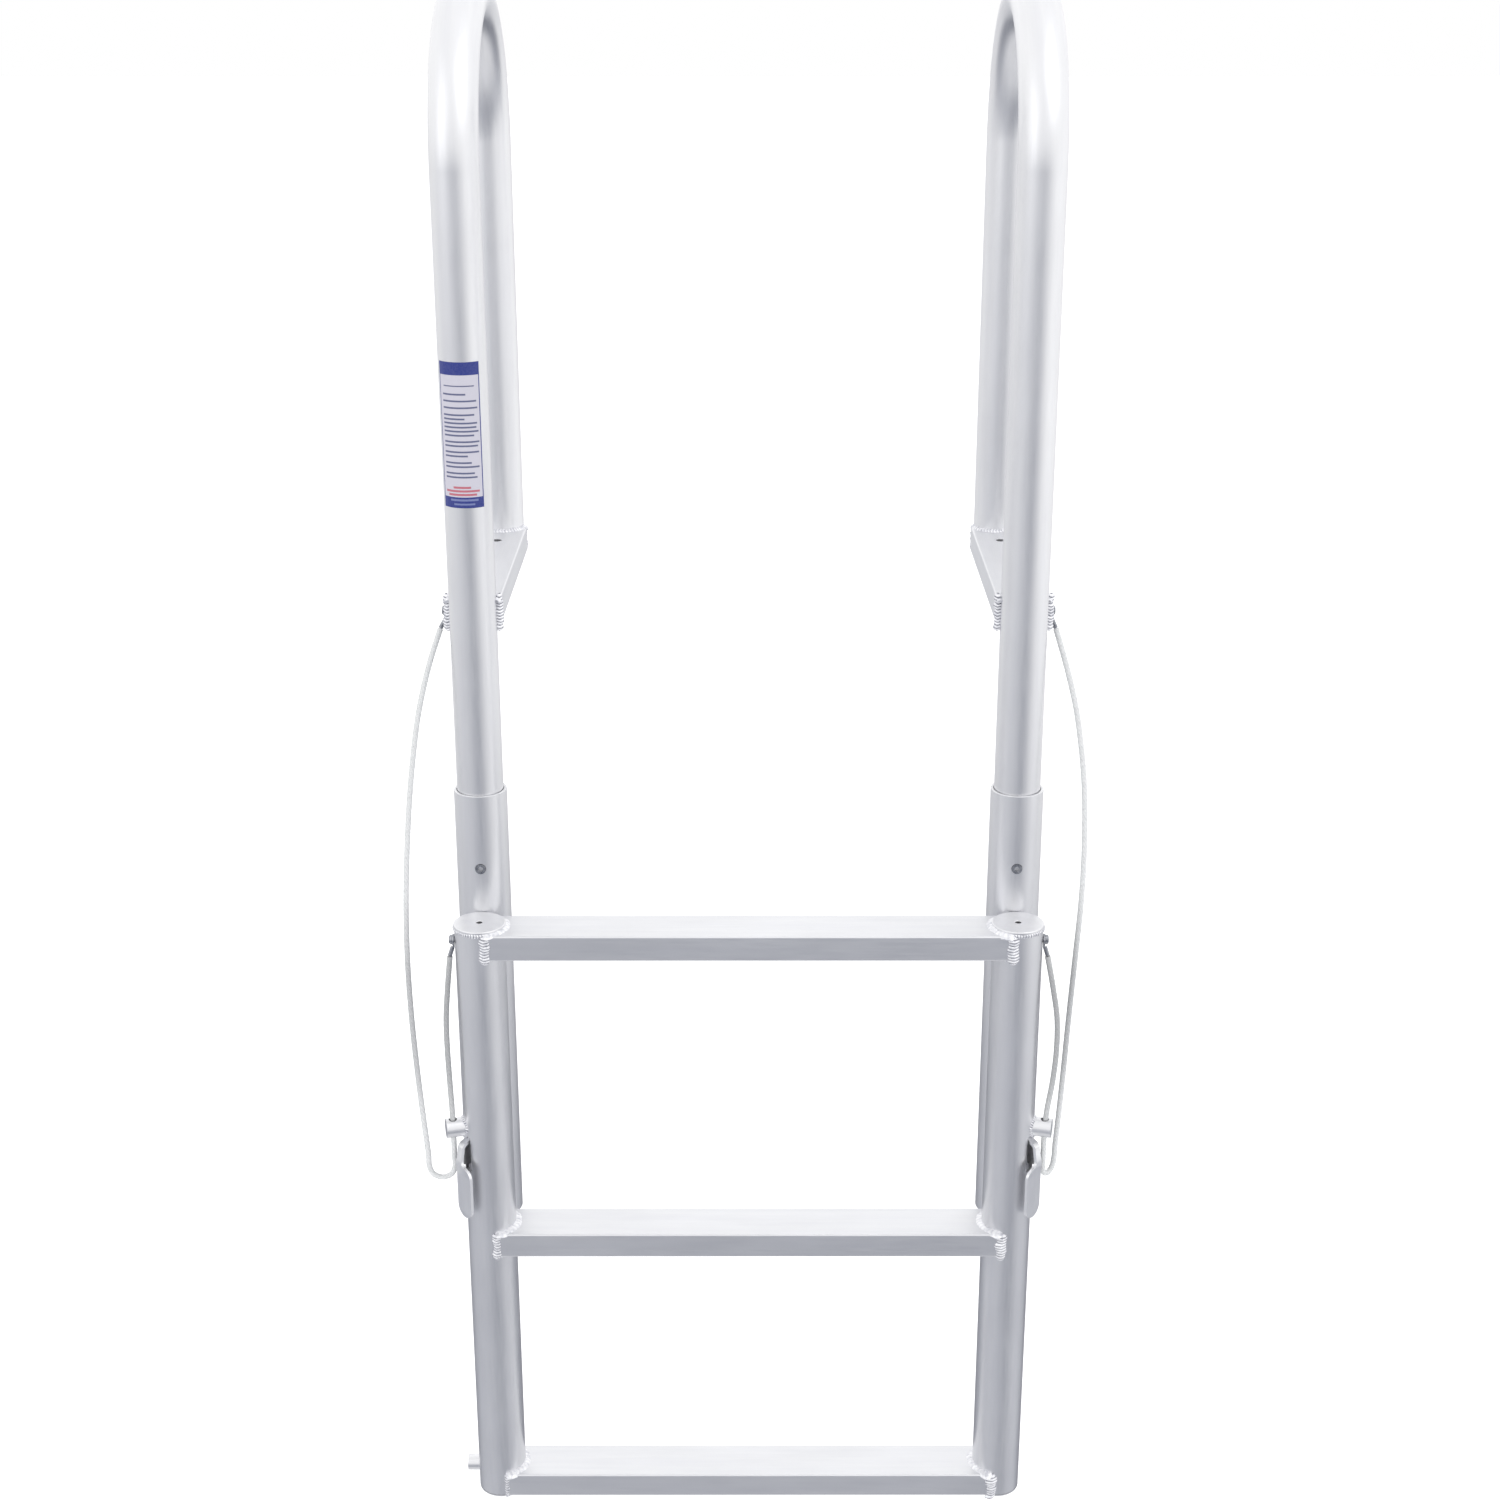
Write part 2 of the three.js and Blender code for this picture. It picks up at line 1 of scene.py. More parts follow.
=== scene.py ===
"""Dock boarding ladder: camera, lanyards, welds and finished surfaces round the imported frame.

Metres, +Z up. The origin is on the deck, midway between the deck brackets, in the plane of the
hoops' front legs. -Y is the water side. "Outward" is away from the ladder's middle.
"""
import json
import math

import bmesh
import bpy
import numpy as np
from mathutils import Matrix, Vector

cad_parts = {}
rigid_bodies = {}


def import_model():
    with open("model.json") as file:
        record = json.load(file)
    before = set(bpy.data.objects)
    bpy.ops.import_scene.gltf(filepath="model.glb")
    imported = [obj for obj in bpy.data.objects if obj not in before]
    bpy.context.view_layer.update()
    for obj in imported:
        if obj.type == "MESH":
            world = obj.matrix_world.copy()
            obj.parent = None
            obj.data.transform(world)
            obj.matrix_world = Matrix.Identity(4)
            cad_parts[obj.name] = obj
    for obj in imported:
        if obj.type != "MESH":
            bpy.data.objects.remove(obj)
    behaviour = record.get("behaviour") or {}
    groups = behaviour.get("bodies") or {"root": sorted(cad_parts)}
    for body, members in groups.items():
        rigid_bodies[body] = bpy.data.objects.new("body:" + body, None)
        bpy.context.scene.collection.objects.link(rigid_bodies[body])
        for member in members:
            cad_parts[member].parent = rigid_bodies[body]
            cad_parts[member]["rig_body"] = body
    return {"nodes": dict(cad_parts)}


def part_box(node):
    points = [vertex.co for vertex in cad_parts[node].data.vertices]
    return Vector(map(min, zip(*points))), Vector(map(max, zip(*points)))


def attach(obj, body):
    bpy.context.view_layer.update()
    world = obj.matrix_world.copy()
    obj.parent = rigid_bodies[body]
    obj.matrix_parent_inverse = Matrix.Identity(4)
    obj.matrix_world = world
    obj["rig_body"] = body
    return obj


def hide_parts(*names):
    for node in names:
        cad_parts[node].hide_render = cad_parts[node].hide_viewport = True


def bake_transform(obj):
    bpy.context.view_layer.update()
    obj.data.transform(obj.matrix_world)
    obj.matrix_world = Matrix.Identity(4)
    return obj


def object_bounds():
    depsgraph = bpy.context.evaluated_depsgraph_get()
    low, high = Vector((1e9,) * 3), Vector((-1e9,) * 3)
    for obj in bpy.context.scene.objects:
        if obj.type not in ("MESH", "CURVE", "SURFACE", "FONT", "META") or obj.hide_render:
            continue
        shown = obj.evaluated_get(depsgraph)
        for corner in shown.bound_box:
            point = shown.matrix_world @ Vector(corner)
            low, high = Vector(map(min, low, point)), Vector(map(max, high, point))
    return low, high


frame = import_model()
cad_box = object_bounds()

MM = 0.001
TURN = 2 * math.pi
SIDES = {"left": -1, "right": 1}
UP = Vector((0, 0, 1))
OUT = {"left": Vector((-1, 0, 0)), "right": Vector((1, 0, 0))}


# ---------------------------------------------------------------- measures from the frame

def middle(node):
    """The middle of a CAD node's box."""
    low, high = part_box(node)
    return (low + high) / 2


def radius_of(node):
    """The radius of an upright round node, from its width along X."""
    low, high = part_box(node)
    return (high.x - low.x) / 2


HALF_SPACING = middle("handrail_hoop_right").x
HOOP_RADIUS = radius_of("handrail_hoop_right")
SLEEVE_RADIUS = radius_of("guide_sleeve_right")
STILE_RADIUS = radius_of("stile_right")
STILE_Y = middle("stile_cap_right").y
HOOP_WALL = 3 * MM
SLEEVE_WALL = 2.8 * MM
BAR_WALL = 2.5 * MM
BAR_CORNER = 1.6 * MM
GAP = 0.3 * MM                     # between a coped bar and the tube it is cut to fit
STEPS = ("step_top", "step_middle", "step_bottom")


# ---------------------------------------------------------------- camera and cords

# The viewpoint: on the ladder's middle line, 2.1 m in front of it, looking 20 degrees down.
CAMERA_PLACE = (0.0018, -2.0788, 0.6241)
CAMERA_TILT, CAMERA_PAN = math.radians(70.24), -0.0006
SENSOR_WIDTH, FOCAL_LENGTH, LENS_SHIFT = 36, 55.58, -0.0013


def add_camera():
    data = bpy.data.cameras.new("camera")
    data.sensor_width, data.lens, data.shift_x = SENSOR_WIDTH, FOCAL_LENGTH, LENS_SHIFT
    camera = bpy.data.objects.new("camera", data)
    camera.location = CAMERA_PLACE
    camera.rotation_euler = (CAMERA_TILT, 0.0, CAMERA_PAN)
    bpy.context.scene.collection.objects.link(camera)
    bpy.context.scene.camera = camera


add_camera()

CABLE_RADIUS = 2.75 * MM

# Lanyard routes from the lug to the eye, as (outward from the hoop's centre line, y, z) in mm.
LONG_ROUTE = {
    "left": [
        (33, 13, -6), (43, 8, -35), (51, 4, -64), (57, 0, -92), (65, -8, -150), (70, -17, -208),
        (73, -26, -267), (73.5, -34, -327), (71, -43, -387), (66.5, -51, -447), (62, -57, -495),
        (60, -59, -515), (59, -60, -527), (58.7, -60.4, -538), (55, -60.4, -547.1),
        (46, -60.4, -550.8), (37, -60.4, -547.1), (33.3, -60.4, -538), (33.3, -60.4, -527),
        (33.3, -60.4, -514), (33.3, -60.4, -495.7),
    ],
    "right": [
        (32, 13, -6), (41, 8, -35), (49, 4, -64), (55, 0, -92), (62.5, -8, -150),
        (65, -15, -208), (64, -21, -267), (60, -27, -327), (56, -32, -387), (52.5, -36.5, -447),
        (49.5, -39.6, -495), (48, -41, -515), (47.2, -41.6, -528), (46.8, -42, -539.4),
        (44.8, -44.7, -547.5), (40.1, -51.2, -550.8), (35.3, -57.7, -547.5),
        (33.3, -60.4, -539.4), (33.3, -60.4, -528), (33.3, -60.4, -515), (33.3, -60.4, -495.7),
    ],
}
SHORT_ROUTE = {
    "left": [
        (29.5, -53, -314), (33, -54.5, -347), (35.5, -56.5, -379), (35.5, -58.5, -412),
        (34.5, -60, -445), (33.5, -60.4, -477), (33.3, -60.4, -495.3),
    ],
    "right": [
        (29.5, -53, -314), (36, -55, -347), (41, -57, -379), (41.5, -59, -412),
        (39, -60.2, -445), (35, -60.4, -475), (33.3, -60.4, -495.3),
    ],
}


def route_points(route, side):
    """A lanyard's route points in the row frame."""
    sign = SIDES[side]
    return [Vector((sign * (HALF_SPACING + out * MM), y * MM, z * MM)) for out, y, z in route]


def smooth_path(points, spacing):
    """The centripetal Catmull-Rom curve through the points, sampled about evenly."""
    knots = [points[0] * 2 - points[1], *points, points[-1] * 2 - points[-2]]
    path = []
    for a, b, c, d in zip(knots, knots[1:], knots[2:], knots[3:]):
        gaps = [(b - a).length ** 0.5, (c - b).length ** 0.5, (d - c).length ** 0.5]
        start = ((b - a) / gaps[0] - (c - a) / (gaps[0] + gaps[1]) + (c - b) / gaps[1]) * gaps[1]
        end = ((c - b) / gaps[1] - (d - b) / (gaps[1] + gaps[2]) + (d - c) / gaps[2]) * gaps[1]
        count = max(2, round((c - b).length / spacing))
        for i in range(count):
            t = i / count
            path.append(
                b + start * t + (c * 3 - b * 3 - start * 2 - end) * t**2
                + (b * 2 - c * 2 + start + end) * t**3
            )
    return path + [points[-1]]


def path_length(path):
    return sum((b - a).length for a, b in zip(path, path[1:]))


# ---------------------------------------------------------------- mesh work

def circle(sides):
    """The cosine and sine at each of a ring's points."""
    angles = [TURN * i / sides for i in range(sides)]
    return [(math.cos(angle), math.sin(angle)) for angle in angles]


def new_object(name, shape):
    """A mesh object in the scene, from (points, faces)."""
    mesh = bpy.data.meshes.new(name)
    mesh.from_pydata([tuple(p) for p in shape[0]], [], shape[1])
    obj = bpy.data.objects.new(name, mesh)
    bpy.context.scene.collection.objects.link(obj)
    return obj


def add_attribute(mesh, name, kind, values):
    """Writes a number or a vector to each of a mesh's points."""
    attribute = mesh.attributes.new(name, kind, "POINT")
    key = "value" if kind == "FLOAT" else "vector"
    attribute.data.foreach_set(key, np.asarray(values, np.float32).ravel())


def smooth(mesh, sharp):
    """Smooth shading, but for edges of more than sharp degrees."""
    mesh.polygons.foreach_set("use_smooth", [True] * len(mesh.polygons))
    mesh.set_sharp_from_angle(angle=math.radians(sharp))


def applied(obj):
    """The object's mesh with its modifiers applied."""
    graph = bpy.context.evaluated_depsgraph_get()
    mesh = bpy.data.meshes.new_from_object(obj.evaluated_get(graph))
    obj.modifiers.clear()
    return mesh


def loft(rings, closed=False, caps=False):
    """Points and faces of a skin over rings with the same number of points each."""
    count = len(rings[0])
    points = [p for ring in rings for p in ring]
    faces = []
    for i in range(len(rings) if closed else len(rings) - 1):
        a, b = i * count, (i + 1) % len(rings) * count
        for j in range(count):
            k = (j + 1) % count
            faces.append((a + j, a + k, b + k, b + j))
    if caps:
        faces.append(tuple(reversed(range(count))))
        faces.append(tuple(range(len(points) - count, len(points))))
    return points, faces


def together(shapes):
    """Several (points, faces) as one."""
    points, faces = [], []
    for more_points, more_faces in shapes:
        start = len(points)
        points += more_points
        faces += [tuple(start + i for i in face) for face in more_faces]
    return points, faces


def make(name, shape, material, body, replaces=(), grain=None, sharp=35, bevel=0.0):
    """A finished piece, from (points, faces)."""
    return finish_piece(
        new_object(name, shape), material, body, replaces, grain, sharp, bevel)


def finish_piece(obj, material, body, replaces=(), grain=None, sharp=35, bevel=0.0):
    """Eases and shades a piece and gives it its materials and body. grain is the order of axes that
    puts the drawn direction on Z."""
    build = bmesh.new()
    build.from_mesh(obj.data)
    if bevel:
        limit = math.radians(sharp)
        edges = [e for e in build.edges if e.is_manifold and e.calc_face_angle() > limit]
        bmesh.ops.bevel(
            build, geom=edges, offset=bevel, segments=3, profile=0.6, affect="EDGES",
            clamp_overlap=True,
        )
    bmesh.ops.recalc_face_normals(build, faces=build.faces)
    build.to_mesh(obj.data)
    build.free()
    smooth(obj.data, sharp)
    weigh_normals(obj)
    mesh = obj.data
    places = np.array([v.co for v in mesh.vertices], float).reshape(-1, 3)
    drawn = places if grain is None else places[:, grain]
    add_attribute(mesh, "grain", "FLOAT_VECTOR", drawn)
    for each in material if isinstance(material, list) else [material]:
        mesh.materials.append(each)
    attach(obj, body)
    if replaces:
        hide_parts(*replaces)
    return obj


def weigh_normals(obj):
    """Lets the broad faces set the normals, so that an eased edge doesn't tilt a long wall's."""
    modifier = obj.modifiers.new("normals", "WEIGHTED_NORMAL")
    modifier.keep_sharp = True
    obj.data = applied(obj)


ALONG_X, ALONG_Y = [2, 1, 0], [0, 2, 1]        # the drawn direction of a lying bar


def refined(node, material, bevel, sharp=35):
    """The CAD node's own shape with its coplanar triangles joined and its edges eased."""
    source = frame["nodes"][node]
    build = bmesh.new()
    build.from_mesh(source.data)
    bmesh.ops.remove_doubles(build, verts=build.verts, dist=0.01 * MM)
    bmesh.ops.dissolve_limit(
        build, angle_limit=math.radians(0.4), verts=build.verts, edges=build.edges
    )
    build.verts.index_update()
    points = [v.co.copy() for v in build.verts]
    faces = [tuple(v.index for v in f.verts) for f in build.faces]
    build.free()
    return make(
        node + "_finished", (points, faces), material, source["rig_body"], [node],
        sharp=sharp, bevel=bevel)


def cut_with(obj, cutters):
    """Cuts each (points, faces) out of obj, for good, before it is finished."""
    for shape in cutters:
        tool = new_object("cutter", shape)
        modifier = obj.modifiers.new("cut", "BOOLEAN")
        modifier.operation, modifier.solver, modifier.object = "DIFFERENCE", "EXACT", tool
        obj.data = applied(obj)
        bpy.data.objects.remove(tool)


def rod_shape(centre, axis, radius, length, sides=48):
    """A closed round rod, for cutting."""
    turn = axis.to_track_quat("Z", "Y")
    rings = [
        [centre + turn @ Vector((radius * c, radius * s, end)) for c, s in circle(sides)]
        for end in (-length / 2, length / 2)
    ]
    return loft(rings, caps=True)


def turned(centre, profile, sides=96):
    """An upright turned solid about centre, from a closed profile of (radius, z)."""
    rings = [
        [Vector((centre.x + radius * c, centre.y + radius * s, z)) for c, s in circle(sides)]
        for radius, z in profile
    ]
    return loft(rings, closed=True)


def ring_profile(outer, inner, low, high, ease):
    """The closed profile of an upright ring whose rims are eased."""
    return [
        (outer, low + ease), (outer, high - ease), (outer - 0.3 * ease, high - 0.3 * ease),
        (outer - ease, high), (inner + ease, high), (inner + 0.3 * ease, high - 0.3 * ease),
        (inner, high - ease), (inner, low + ease), (inner + ease, low), (outer - ease, low),
    ]


def frames_along(path, closed=False):
    """For each point of a path: the point, the tangent and two steady directions across it."""
    count = len(path)
    tangents = []
    for i in range(count):
        before = path[i - 1] if i or closed else path[0]
        after = path[(i + 1) % count] if i < count - 1 or closed else path[-1]
        tangents.append((after - before).normalized())
    across = tangents[0].orthogonal().normalized()
    frames = []
    for point, tangent in zip(path, tangents):
        across = (across - tangent * across.dot(tangent)).normalized()
        frames.append((point, tangent, across, tangent.cross(across)))
    return frames


# ---------------------------------------------------------------- materials

def new_material(name, color, roughness, metallic=0.0):
    """A material of one Principled shader, and that shader."""
    material = bpy.data.materials.new(name)
    material.use_nodes = True
    shader = material.node_tree.nodes["Principled BSDF"]
    shader.inputs["Base Color"].default_value = (*color, 1)
    shader.inputs["Roughness"].default_value = roughness
    shader.inputs["Metallic"].default_value = metallic
    return material, shader


class Graph:
    """Short ways to add nodes to a material, or to a world."""

    def __init__(self, owner, shader=None):
        self.nodes, self.links, self.shader = owner.node_tree.nodes, owner.node_tree.links, shader

    def put(self, value, socket):
        """Links a socket to a value that is a node's output, or sets it to a number or colour."""
        if isinstance(value, bpy.types.NodeSocket):
            self.links.new(value, socket)
        else:
            socket.default_value = (*value, 1) if isinstance(value, tuple) else value

    def add(self, kind, **inputs):
        node = self.nodes.new(kind)
        for name, value in inputs.items():
            self.put(value, node.inputs[name])
        return node

    def attribute(self, name, output="Fac"):
        """What the mesh says of a point, such as how near it is to a ripple's crest."""
        node = self.nodes.new("ShaderNodeAttribute")
        node.attribute_name = name
        return node.outputs[output]

    def place(self, source="grain", along=1):
        """Coordinates in metres, of the grain or of the object. A small along draws what is
        placed by them out along Z, which is the drawn direction of the grain."""
        if source == "grain":
            vector = self.attribute("grain", "Vector")
        else:
            vector = self.nodes.new("ShaderNodeTexCoord").outputs["Object"]
        mapping = self.add("ShaderNodeMapping", Vector=vector)
        mapping.inputs["Scale"].default_value = (1, 1, along)
        return mapping.outputs["Vector"]

    def noise(self, vector, scale, detail):
        node = self.add(
            "ShaderNodeTexNoise", Vector=vector, Scale=scale, Detail=detail, Roughness=0.55)
        return node.outputs["Fac"]

    def ranged(self, value, low, high, from_low=0.3, from_high=0.7, easing="LINEAR"):
        """A value's run from from_low to from_high, as one from low to high."""
        node = self.nodes.new("ShaderNodeMapRange")
        node.interpolation_type = easing
        self.links.new(value, node.inputs["Value"])
        for name, number in (("From Min", from_low), ("From Max", from_high),
                             ("To Min", low), ("To Max", high)):
            node.inputs[name].default_value = number
        return node.outputs["Result"]

    def ramp(self, value, stops, interpolation="LINEAR"):
        """The colour at a value, from (place, colour) stops."""
        node = self.add("ShaderNodeValToRGB", Fac=value)
        node.color_ramp.interpolation = interpolation
        elements = node.color_ramp.elements
        while len(elements) < len(stops):
            elements.new(0.5)
        for element, (place, color) in zip(elements, stops):
            element.position, element.color = place, (*color, 1)
        return node.outputs["Color"]

    def mixed(self, first, second, factor, blend="MIX"):
        node = self.nodes.new("ShaderNodeMix")
        node.data_type, node.blend_type = "RGBA", blend
        for number, value in ((0, factor), (6, first), (7, second)):
            self.put(value, node.inputs[number])
        return node.outputs[2]

    def calculated(self, operation, *values):
        node = self.nodes.new("ShaderNodeMath")
        node.operation = operation
        for value, socket in zip(values, node.inputs):
            self.put(value, socket)
        return node.outputs[0]

    def summed(self, first, second, weight):
        return self.calculated("MULTIPLY_ADD", second, weight, first)

    def bump(self, height, distance, strength):
        node = self.add("ShaderNodeBump", Height=height, Distance=distance, Strength=strength)
        self.links.new(node.outputs["Normal"], self.shader.inputs["Normal"])

    def use(self, socket_name, value):
        self.links.new(value, self.shader.inputs[socket_name])


def drawn_aluminium(name, color, roughness):
    """Satin aluminium: fine streaks along the drawn direction, faint mottling and smudges."""
    material, shader = new_material(name, color, roughness, 1.0)
    graph = Graph(material, shader)
    streaks = graph.noise(graph.place(along=0.02), 1400, 3)
    bands = graph.noise(graph.place(along=0.05), 120, 3)
    clouds = graph.noise(graph.place(along=0.35), 34, 4)
    speckle = graph.noise(graph.place(), 2600, 2)
    darker = tuple(0.968 * c for c in color)
    lighter = tuple(1.02 * c for c in color)
    base = graph.ramp(graph.ranged(clouds, 0, 1), [(0, darker), (1, lighter)])
    fine = graph.ramp(graph.ranged(bands, 0, 1), [(0, (0.96, 0.96, 0.97)), (1, (1, 1, 1))])
    graph.use("Base Color", graph.mixed(base, fine, 1.0, "MULTIPLY"))
    rough = graph.summed(
        graph.ranged(streaks, roughness - 0.06, roughness + 0.05), clouds, 0.05)
    graph.use("Roughness", rough)
    graph.bump(graph.summed(streaks, speckle, 0.6), 0.012 * MM, 0.6)
    return material


def weld_metal():
    """Frosted, slightly pitted metal of a weld, with painted shade darkening the creases between
    ripples.
    """
    color = (0.88, 0.88, 0.90)
    material, shader = new_material("weld metal", color, 0.38, 0.82)
    graph = Graph(material, shader)
    grit = graph.noise(graph.place(), 900, 4)
    stain = graph.noise(graph.place(), 210, 3)
    base = graph.ramp(
        graph.ranged(stain, 0, 1), [(0, (0.66, 0.67, 0.71)), (0.6, color), (1, (0.94, 0.95, 0.97))])
    # painted shade in the creases, from the crest value that each bead writes
    shade = graph.ramp(graph.attribute("crest"), [
        (0, (0.07, 0.08, 0.10)), (0.6, (0.84, 0.84, 0.87)), (1, (1, 1, 1))])
    graph.use("Base Color", graph.mixed(base, shade, 1.0, "MULTIPLY"))
    graph.use("Roughness", graph.ranged(grit, 0.28, 0.50))
    graph.bump(grit, 0.06 * MM, 0.7)
    return material


def machined_steel():
    """Stainless steel of the screws, pins and lugs, unevenly tarnished."""
    color = (0.36, 0.37, 0.40)
    material, shader = new_material("stainless steel", color, 0.3, 1.0)
    graph = Graph(material, shader)
    turning = graph.noise(graph.place(), 1800, 3)
    tarnish = graph.noise(graph.place(), 240, 3)
    graph.use("Base Color", graph.ramp(
        graph.ranged(tarnish, 0, 1), [(0, (0.20, 0.21, 0.24)), (1, (0.46, 0.47, 0.50))]))
    graph.use("Roughness", graph.ranged(turning, 0.22, 0.42))
    graph.bump(turning, 0.02 * MM, 0.5)
    return material


def moulded_plastic(name, color):
    """Plastic with a fine grain and faint flow marks."""
    material, shader = new_material(name, color, 0.5)
    graph = Graph(material, shader)
    grain = graph.noise(graph.place(), 1500, 3)
    flow = graph.noise(graph.place(), 60, 3)
    darker = tuple(0.82 * c for c in color)
    graph.use("Base Color", graph.ramp(graph.ranged(flow, 0, 1), [(0, darker), (1, color)]))
    graph.use("Roughness", graph.ranged(grain, 0.42, 0.58))
    graph.bump(grain, 0.03 * MM, 0.5)
    return material


def cable_skin(name, tone):
    """Clear vinyl over wire rope: pale grey, with the strands' turns showing faintly through painted
    shade in the grooves between them. A band of painted shade greys the stretch that hangs beside
    the stile, and tone darkens all of it."""
    color = (0.74, 0.75, 0.76)
    material, shader = new_material(name, color, 0.28)
    shader.inputs["Coat Weight"].default_value = 0.35
    shader.inputs["Coat Roughness"].default_value = 0.15
    graph = Graph(material, shader)
    dust = graph.noise(graph.place("object"), 420, 4)
    # painted shade: the colour darkens in the grooves between the strands' turns, where the strand
    # value is low
    shades = ((0, (0.46, 0.47, 0.49)), (0.45, color), (1, (0.83, 0.84, 0.85)))
    skin = graph.ramp(graph.attribute("strand"), [
        (place, tuple(tone * c for c in shade)) for place, shade in shades])
    height = graph.add("ShaderNodeSeparateXYZ", Vector=graph.place("object")).outputs["Z"]
    # painted shade: a grey band on the cable between 0.26 m and 0.48 m below the deck
    painted_shade_band = graph.ramp(graph.ranged(height, 0, 1, -0.54, -0.26), [
        (0.2, (1, 1, 1)), (0.38, (0.74, 0.74, 0.75)), (0.7, (0.68, 0.68, 0.69)), (1, (1, 1, 1))])
    worn = graph.ramp(graph.ranged(dust, 0, 1), [(0, (0.86, 0.87, 0.87)), (1, (1, 1, 1))])
    tinted = graph.mixed(skin, worn, 1.0, "MULTIPLY")
    graph.use("Base Color", graph.mixed(tinted, painted_shade_band, 1.0, "MULTIPLY"))
    graph.use("Roughness", graph.ranged(dust, 0.22, 0.38))
    return material


def printed(name, color):
    """Printed vinyl, with a slight unevenness of the ink."""
    material, shader = new_material(name, color, 0.4)
    graph = Graph(material, shader)
    ink = graph.noise(graph.place("object"), 700, 3)
    weak = tuple(c + (1 - c) * 0.025 for c in color)
    graph.use("Base Color", graph.ramp(graph.ranged(ink, 0, 1), [(0, color), (1, weak)]))
    graph.use("Roughness", graph.ranged(ink, 0.34, 0.46))
    return material


TUBE = drawn_aluminium("tube aluminium", (0.80, 0.803, 0.82), 0.34)
BAR = drawn_aluminium("bar aluminium", (0.77, 0.775, 0.795), 0.38)
CAST = drawn_aluminium("lever aluminium", (0.90, 0.903, 0.915), 0.32)
WELD = weld_metal()
STEEL = machined_steel()
PLUG = moulded_plastic("plug plastic", (0.06, 0.06, 0.065))
SLIDE = moulded_plastic("slide plastic", (0.78, 0.78, 0.75))
LONG_CABLE = cable_skin("long cable", 0.86)
SHORT_CABLE = cable_skin("short cable", 0.70)


# ---------------------------------------------------------------- lanyards

STRANDS = 6
STRAND_LAY = 30 * MM
STRAND_DEPTH = 0.13 * MM


def cable_shape(path, sides=24):
    """A tube whose skin shows the strands under it as shallow twisted ridges."""
    rings, shade, along, before = [], [], 0.0, path[0]
    for point, _, across, other in frames_along(path):
        along += (point - before).length
        before = point
        twist = TURN * along / STRAND_LAY
        ring = []
        for i in range(sides):
            angle = TURN * i / sides
            crest = abs(math.cos(STRANDS / 2 * (angle + twist)))
            radius = CABLE_RADIUS - STRAND_DEPTH * (1 - crest)
            ring.append(point + (across * math.cos(angle) + other * math.sin(angle)) * radius)
            shade.append(crest)
        rings.append(ring)
    return loft(rings, caps=True), shade


def add_lanyard(name, material, route, side, body=None):
    """A lanyard's stretch. Without a body of its own it goes from the deck frame to the ladder."""
    path = smooth_path(route_points(route, side), 1.5 * MM)
    shape, shade = cable_shape(path)
    cable = new_object(name + "_cable", shape)
    smooth(cable.data, 50)
    add_attribute(cable.data, "strand", "FLOAT", shade)
    cable.data.materials.append(material)
    if body:
        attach(cable, body)
    else:
        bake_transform(cable)
    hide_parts(name)
    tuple(path[0])
    round(path_length(path), 4)


for side in SIDES:
    add_lanyard(f"long_lanyard_{side}", LONG_CABLE, LONG_ROUTE[side], side)
    add_lanyard(f"short_lanyard_{side}", SHORT_CABLE, SHORT_ROUTE[side], side, "ladder")


# ---------------------------------------------------------------- tubes

def add_hoop(side):
    """The handrail: up the front leg, over a half circle and down the rear leg."""
    node = f"handrail_hoop_{side}"
    low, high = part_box(node)
    x, front, rear = middle(node).x, low.y + HOOP_RADIUS, high.y - HOOP_RADIUS
    bend = (rear - front) / 2
    spring_line = high.z - HOOP_RADIUS - bend
    rise, arc = spring_line - low.z, math.pi * bend
    total = rise + arc + spring_line

    def station(along):
        """The centre line's point there, and the direction across it, in the hoop's plane."""
        angle = min(max((along - rise) / bend, 0), math.pi)
        y = front + bend * (1 - math.cos(angle))
        z = spring_line + bend * math.sin(angle)
        if along < rise:
            z = low.z + along
        if along > rise + arc:
            z = total - along
        return Vector((x, y, z)), Vector((0, -math.cos(angle), math.sin(angle)))

    ease, inner, steps = 0.8 * MM, HOOP_RADIUS - HOOP_WALL, 72
    arc_stations = [rise + arc * i / steps for i in range(steps + 1)]
    profile = [(ease, HOOP_RADIUS)]
    profile += [(s, HOOP_RADIUS) for s in arc_stations]
    profile += [(total - ease, HOOP_RADIUS), (total, HOOP_RADIUS - ease), (total, inner)]
    profile += [(s, inner) for s in reversed(arc_stations)]
    profile += [(0, inner), (0, HOOP_RADIUS - ease)]
    rings, drawn = [], []
    for along, radius in profile:
        centre, across = station(along)
        ring = []
        for c, s in circle(72):
            ring.append(centre + OUT["right"] * radius * c + across * radius * s)
            drawn.append((radius * c, radius * s, along))
        rings.append(ring)
    hoop = make(node + "_tube", loft(rings, closed=True), TUBE, "deck_frame", [node])
    hoop.data.attributes["grain"].data.foreach_set("vector", np.array(drawn, np.float32).ravel())


SET_SCREW_HOLE_RADIUS = 5.3 * MM


def add_sleeve(side):
    """The wider tube over the front leg, with the set screw's hole in its front."""
    node = f"guide_sleeve_{side}"
    low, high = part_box(node)
    profile = ring_profile(SLEEVE_RADIUS, SLEEVE_RADIUS - SLEEVE_WALL, low.z, high.z, 0.7 * MM)
    sleeve = new_object(node + "_tube", turned(middle(node), profile))
    screw = middle(f"sleeve_set_screw_{side}")
    at = Vector((screw.x, low.y, screw.z))
    cut_with(sleeve, [rod_shape(at, Vector((0, 1, 0)), SET_SCREW_HOLE_RADIUS, 20 * MM)])
    finish_piece(sleeve, TUBE, "deck_frame", [node])


